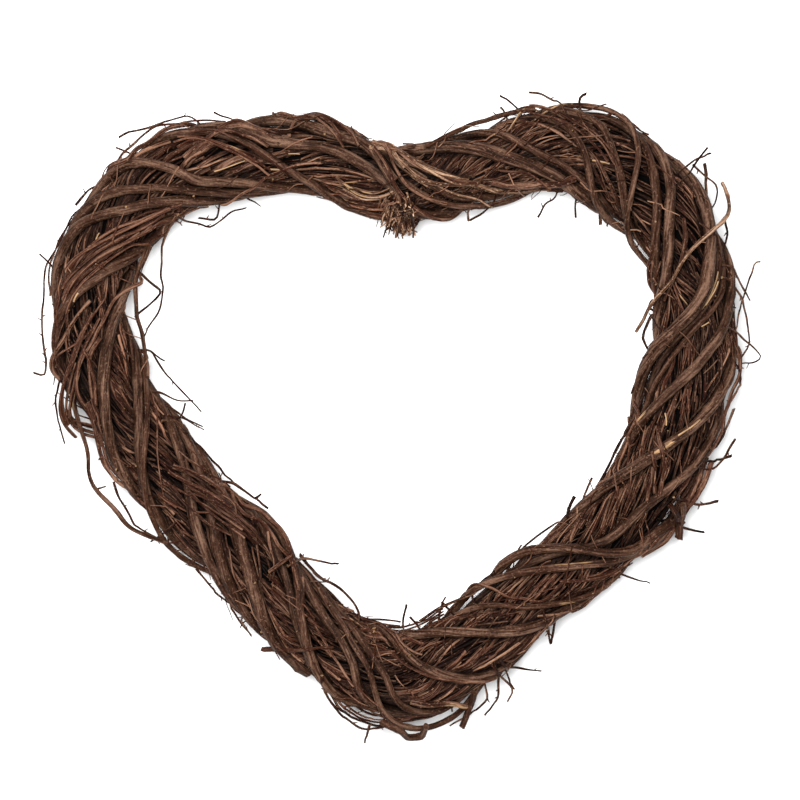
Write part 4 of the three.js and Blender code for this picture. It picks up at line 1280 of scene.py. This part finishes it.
def stray(row, prefix="strays", bend=0.35, shade=None, rooted=False):
    r, over, *at = row
    xy = np.array(at, float).reshape(-1, 2)
    if rooted and over != 2:
        xy = to_bundle(xy)
    over = over == 1
    v = lengths(xy[None])[0]
    q = np.arange(0, v[-1], 0.8)
    way = np.stack([np.interp(q, v, xy[:, 0]), np.interp(q, v, xy[:, 1])], -1)
    soft = np.stack([windows(way[:, k], 3).mean(-1) for k in (0, 1)], -1)
    soft[0], soft[-1] = way[0], way[-1]
    tan = np.gradient(soft, axis=0)
    tan /= np.linalg.norm(tan, axis=1, keepdims=True) + 1e-9
    soft = soft + np.stack([-tan[:, 1], tan[:, 0]], -1) * (zigzag(q, 7, 0.45) + wander(q, (30,), (bend,))[0] * np.minimum(1, q / 10))[:, None]
    s, d, half = locate(soft)
    rho = (0.95 if over else 0.78) * half
    shade = rng.normal(-0.68, 0.25) if shade is None else shade
    for _ in range(3):
        a = np.arcsin(np.clip(d / rho, -1, 1)) / RAD
        field = np.maximum(twig_top, vine_top) if over else np.minimum(twig_top, 0.8 * _half[:, None])
        rho = field[cell(s, a)] + r
    z = middle(s, half) + HEIGHT_SHARE * np.sqrt(np.maximum(rho ** 2 - d ** 2, 0))
    # shoots that stand off side by side are at one height, so that those that cross are joined
    hang = 2 + 4.5 * np.sin(s / 19 + np.where(d > 0, 1.3, 4.0))
    outside = np.clip((np.abs(d) - 0.9 * half) / 9, 0, 1)
    z = z * (1 - outside) + (middle(s, half) + hang) * outside
    for _ in range(3):
        z = windows(z, 4).mean(-1)
    if over:
        z = np.maximum(z, np.where(np.abs(d) < rho * 0.96, middle(s, half) + HEIGHT_SHARE * np.sqrt(np.maximum(rho ** 2 - d ** 2, 0)) - 0.4, z))
        z = windows(z, 2).mean(-1)
    p = np.concatenate([soft, np.maximum(z, r + 0.05)[:, None]], 1)
    thin = r * (1 - 0.35 * q / q[-1]) * (1 + wander(q, (18, 9), (0.08, 0.06))[0])
    ref = np.tile([0.0, 0.0, 1.0], (len(q), 1))
    pts, along, (rr, ref) = resample(p, 2.0, (thin, ref))
    batch_for(prefix, float(np.median(s))).tubes(pts[None], rr[None], ref[None], 6, [shade],
                                                 [float(np.clip(rng.normal(0.5, 0.25), 0, 1))],
                                                 ends=rng.choice((0.1, 0.5, 0.9)), slant=0.8)
    # a few buds and short side shoots at the corners
    for i in range(2, len(pts) - 2):
        if rng.random() < 0.10:
            tan = pts[i + 1] - pts[i - 1]
            tan /= np.linalg.norm(tan)
            side = np.cross(tan, [0, 0, 1]) * rng.choice((-1, 1)) + tan * rng.uniform(0.3, 1.2) + np.array([0, 0, rng.uniform(-0.2, 0.6)])
            side /= np.linalg.norm(side)
            t = np.linspace(0, 1, 4)[:, None]
            bud = pts[i] + side * t * rng.uniform(1.0, 3.2)
            bud[:, 2] = np.maximum(bud[:, 2], 0.3)
            batch_for(prefix, float(np.median(s))).tubes(bud[None], (rr[i] * 0.7 * (1 - 0.5 * t[:, 0]))[None],
                                                         np.tile(tan, (4, 1))[None], 5, [-0.2], [0.6], ends=0.3)


for row in STRAYS:
    stray((1.16 * row[0], *row[1:]), rooted=True)

# fine twigs in the hollows between the vines, low on the right and above the tip
for x0, y0, x1, y1, count in ((104, -26, 134, -40, 46), (92, -42, 116, -58, 26), (62, -70, 84, -84, 22), (-46, -98, -26, -112, 16)):
    for k in range(count):
        f, g = rng.uniform(0, 1), rng.normal(0, 3)
        s0, d0, h0 = locate(np.array([[x0 + (x1 - x0) * f + 0.5 * g, y0 + (y1 - y0) * f + 0.8 * g]]))
        lean = 0.06 + rng.normal(0, 0.09)
        v, s, a = run_of(s0[0], float(np.arcsin(np.clip(d0[0] / h0[0], -0.95, 0.95)) / RAD), rng.uniform(32, 80),
                         lambda q, lean=lean: grain_at(q) + lean, bend=1.0, corner=0.6)
        thin = rng.uniform(0.42, 0.8)
        twig(s, a, taper(v, thin, thin * rng.uniform(0.55, 0.9)), prefix="twigs", level=TIGHT + 0.03 + rng.normal(0, 0.015),
             tone=rng.normal(0.0, 0.4), warm=float(np.clip(rng.normal(0.55, 0.3), 0, 1)))

# lengths that fill out the edges: low on the left, at the right above the tip, and at the tip
EDGES = [
    ("strands", (1.5, 1.2, 1.3, 1.0), 2.6, (0.85, 0.5), (-160.5, 8, -157.2, -2.5, -154.6, -13.9, -151.5, -25.5, -146.2, -32, -140.5, -35.4,
                                                         -135.3, -40, -128.5, -47.7)),
    ("strands", (1.7, 1.9, 1.6, 1.4, 1.1), 3.1, (-0.8, 0.6), (166.5, -21.7, 163.4, -30, 158.2, -42.5, 150.9, -52.4, 141.6, -63.8, 130.7, -72.7)),
    ("strays", (0.9, 0.8, 0.7, 0.9), 2.0, (0.25, 0.95), (-37.3, -137.1, -29, -149.6, -19.6, -156.4, -9.2, -159.5, 1.2, -157.9)),
    ("strays", (1.0, 0.8, 0.7, 0.9), 2.0, (0.1, 1.0), (-4, -157.6, 8.5, -157.2, 18.9, -154.8, 28.5, -150.2)),
    ("strays", (0.8, 0.7, 0.9, 0.7, 0.6), 1.6, (0.1, -1.0), (-21.7, -102.8, -9.2, -107, 3.3, -107, 15.7, -103.3, 26.1, -96.6)),
    ("strays", (0.7, 0.6), 1.8, (0.0, 1.0), (-33.1, 126, -21.7, 116.6, -9.2, 108.3, 1.2, 101)),
]
for kind, radii, apart, (ix, iy), at in EDGES:
    inward = 0.0
    for r in radii:
        shift = [v + (ix if k % 2 == 0 else iy) * (inward + r) for k, v in enumerate(at)]
        stray((r, 0, *shift), prefix=kind, bend=0.5, shade=rng.normal(-0.05 if kind == "strands" else -0.4, 0.3))
        inward += apart * rng.uniform(0.8, 1.1)

# the splintered end that hangs at the notch: a wedge of broken fibres
for k in range(44):
    f = rng.uniform(-1, 1)
    x0, y0 = 2.5 + 13 * f, rng.uniform(109, 117) - 2 * abs(f)
    x1, y1 = 3.6 + 5.5 * f + rng.normal(0, 0.8), rng.uniform(95.5, 103) + 1.5 * abs(f)
    stray((rng.uniform(0.55, 1.0), 0, x0, y0, 0.5 * (x0 + x1) + rng.normal(0, 0.8), 0.5 * (y0 + y1), x1, y1),
          shade=rng.normal(-0.7, 0.4))
for k in range(105):
    down = rng.uniform(0, 1) ** 0.8
    f = rng.uniform(-1, 1)
    x0, y0 = 1.5 + 2.0 * down + f * (11.5 - 7 * down), 120 - 18 * down - 1.5 * abs(f)
    turn = (-90 + rng.normal(0, 28) - 22 * f * (1 - down)) * RAD
    long = rng.uniform(4, 10)
    x1, y1 = x0 + long * math.cos(turn), max(93.0, y0 + long * math.sin(turn))
    bow = rng.normal(0, 0.12) * long
    stray((rng.uniform(0.3, 0.75), 1, x0, y0, 0.5 * (x0 + x1) - bow * math.sin(turn), 0.5 * (y0 + y1) + bow * math.cos(turn),
           x1, y1), prefix="tuft", shade=rng.normal(-0.6, 0.8))
for x, y in ((-0.5, 96.5), (0.6, 94.6), (2.0, 95.4), (8.4, 97.2), (9.6, 96.0), (7.2, 98.0)):
    stray((0.7, 0, 3.5, 108, 0.5 * (3.5 + x), 102.5, x, y), prefix="tuft", shade=-0.3)


def sprig(s0, a0, long, away, along, thin, curl):
    """A short shoot that stands away from the bundle."""
    n = max(5, int(long / 1.6))
    t = np.linspace(0, 1, n)
    half = float(heart(np.array([s0]))[2][0])
    start = around(np.array([s0]), a0, np.array([0.80 * half]))[0]
    out = radial(np.array([s0]), a0)[0]
    x0, y0 = heart(np.array([s0 - 1]))[:2], heart(np.array([s0 + 1]))[:2]
    ahead = np.array([y0[0][0] - x0[0][0], y0[1][0] - x0[1][0], 0])
    ahead /= np.linalg.norm(ahead)
    side = np.cross(out, ahead)
    go = out * away + ahead * along + side * rng.normal(0, 0.35)
    go /= np.linalg.norm(go)
    bend = ahead * curl[0] + side * curl[1] - out * curl[2]
    p = start + go * (t * long)[:, None] + bend * ((t ** 2) * long)[:, None]
    corner = rng.normal(0, 0.35, (n, 3))
    p = p + np.cumsum(corner, 0) * 0.5
    p[:, 2] = np.maximum(p[:, 2], thin + 0.05)
    r = thin * (1 - 0.4 * t)
    batch_for("strays", s0).tubes(p[None], r[None], np.tile(np.cross(go, side), (n, 1))[None], 5, [rng.normal(-0.4, 0.3)],
                                  [float(np.clip(rng.normal(0.6, 0.3), 0, 1))], ends=rng.choice((0.1, 0.5, 0.9)), slant=0.8)


for k in range(190):
    s0 = rng.uniform(0, AROUND)
    a0 = rng.choice((-1, 1)) * rng.uniform(48, 125)
    sprig(s0, a0, rng.uniform(5, 17), rng.uniform(0.25, 1.1), rng.choice((-1, 1)) * rng.uniform(0.5, 1.2),
          rng.uniform(0.26, 0.5), (rng.normal(0, 0.25), rng.normal(0, 0.3), rng.uniform(0, 0.5)))
for k in range(60):
    sprig(rng.uniform(0, AROUND), rng.uniform(-60, 60), rng.uniform(4, 10), rng.uniform(0.15, 0.5),
          rng.choice((-1, 1)) * rng.uniform(0.6, 1.2), rng.uniform(0.26, 0.5),
          (rng.normal(0, 0.2), rng.normal(0, 0.3), rng.uniform(0.1, 0.5)))

for key in sorted(batches):
    kind = key.rsplit("_", 1)[0]
    ob = batches[key].build({"strands": strand_bark, "pale_strands": light_bark, "tuft": light_bark}.get(kind, twig_bark))

# ---- how deep every point lies below what is round it -------------------------------------------
# the bark colours use this depth as painted shade down in the gaps and as painted light where a point stands out
_gx, _gy = np.arange(-205, 206, 2.0), np.arange(-195, 196, 2.0)
_plan = np.stack(np.meshgrid(_gx, _gy, indexing="ij"), -1).reshape(-1, 2)
_near = np.concatenate([((part[:, None] - _line[None]) ** 2).sum(-1).argmin(1)
                        for part in np.array_split(_plan, 24)]).reshape(len(_gx), len(_gy))
_sx, _sy, _shalf, _sox, _soy = heart(_rows)
_sz = middle(_rows, _shalf)
height = np.maximum(twig_top, vine_top)
for _ in range(2):
    height = np.stack([windows(col, 4, "wrap").mean(-1) for col in height.T], 1)
    height = np.stack([windows(row, 6, "wrap").mean(-1) for row in height])
for ob in [o for o in bpy.context.scene.objects if o.type == "MESH"]:
    me = ob.data
    co = np.empty(len(me.vertices) * 3, np.float32)
    me.vertices.foreach_get("co", co)
    co = co.reshape(-1, 3) / MM
    ix = np.clip(np.rint((co[:, 0] - _gx[0]) / 2).astype(int), 0, len(_gx) - 1)
    iy = np.clip(np.rint((co[:, 1] - _gy[0]) / 2).astype(int), 0, len(_gy) - 1)
    k = _near[ix, iy]
    for _ in range(2):
        along = ((co[:, 0] - TO_CENTRE[0] - _sx[k]) * -_soy[k] + (co[:, 1] - TO_CENTRE[1] - _sy[k]) * _sox[k])
        way = np.sign((_sx[(k + 1) % NS] - _sx[k]) * -_soy[k] + (_sy[(k + 1) % NS] - _sy[k]) * _sox[k])
        k = (k + np.rint(np.clip(way * along / (AROUND / NS), -3, 3)).astype(int)) % NS
    d = (co[:, 0] - TO_CENTRE[0] - _sx[k]) * _sox[k] + (co[:, 1] - TO_CENTRE[1] - _sy[k]) * _soy[k]
    up = (co[:, 2] - _sz[k]) / HEIGHT_SHARE
    rho, a = np.hypot(d, up), np.degrees(np.arctan2(d, up))
    depth = height[k, (np.mod(a, 360) / 360 * NA).astype(int) % NA] - rho
    att = me.attributes.new("deep", "FLOAT", "POINT")
    att.data.foreach_set("value", np.clip(depth, -1.6, 5.0).astype(np.float32))


# ---- floor, light, camera -----------------------------------------------------------------------
floor = bpy.data.meshes.new("floor")
floor.from_pydata([(-3, -3, -0.0002), (3, -3, -0.0002), (3, 3, -0.0002), (-3, 3, -0.0002)], [], [(0, 1, 2, 3)])
fm = bpy.data.materials.new("floor_white")
fm.use_nodes = True
fm.node_tree.nodes["Principled BSDF"].inputs["Base Color"].default_value = (0.93, 0.93, 0.93, 1)
fm.node_tree.nodes["Principled BSDF"].inputs["Roughness"].default_value = 0.9
floor.materials.append(fm)
floor_ob = bpy.data.objects.new("floor", floor)
bpy.context.scene.collection.objects.link(floor_ob)

world = bpy.data.worlds.new("studio")
bpy.context.scene.world = world
world.use_nodes = True
bg = world.node_tree.nodes["Background"]
bg.inputs[0].default_value = (1.0, 1.0, 1.0, 1)
bg.inputs[1].default_value = 0.29


def area(name, at, size, power, target=(0, 0, 0.02)):
    from mathutils import Vector
    d = bpy.data.lights.new(name, "AREA")
    d.shape = "DISK"
    d.size = size
    d.energy = power
    ob = bpy.data.objects.new(name, d)
    ob.location = at
    ob.rotation_euler = (Vector(target) - Vector(at)).to_track_quat("-Z", "Y").to_euler()
    bpy.context.scene.collection.objects.link(ob)
    return ob


area("softbox_top", (-0.15, 0.21, 1.60), 0.95, 64)

cam = bpy.data.cameras.new("camera")
cam_ob = bpy.data.objects.new("camera", cam)
bpy.context.scene.collection.objects.link(cam_ob)
PX = 0.00052
cx = (400 - 392) * PX + TO_CENTRE[0] * MM
cy = (413 - 400) * PX + TO_CENTRE[1] * MM
away = 1.9
cam_ob.location = (cx, cy, 0.02 + away)
cam_ob.rotation_euler = (0, 0, 0)
cam.sensor_width = 36
cam.lens = 36 * away / (800 * PX)
cam.clip_end = 20
bpy.context.scene.camera = cam_ob
bpy.context.scene.view_settings.view_transform = "Standard"
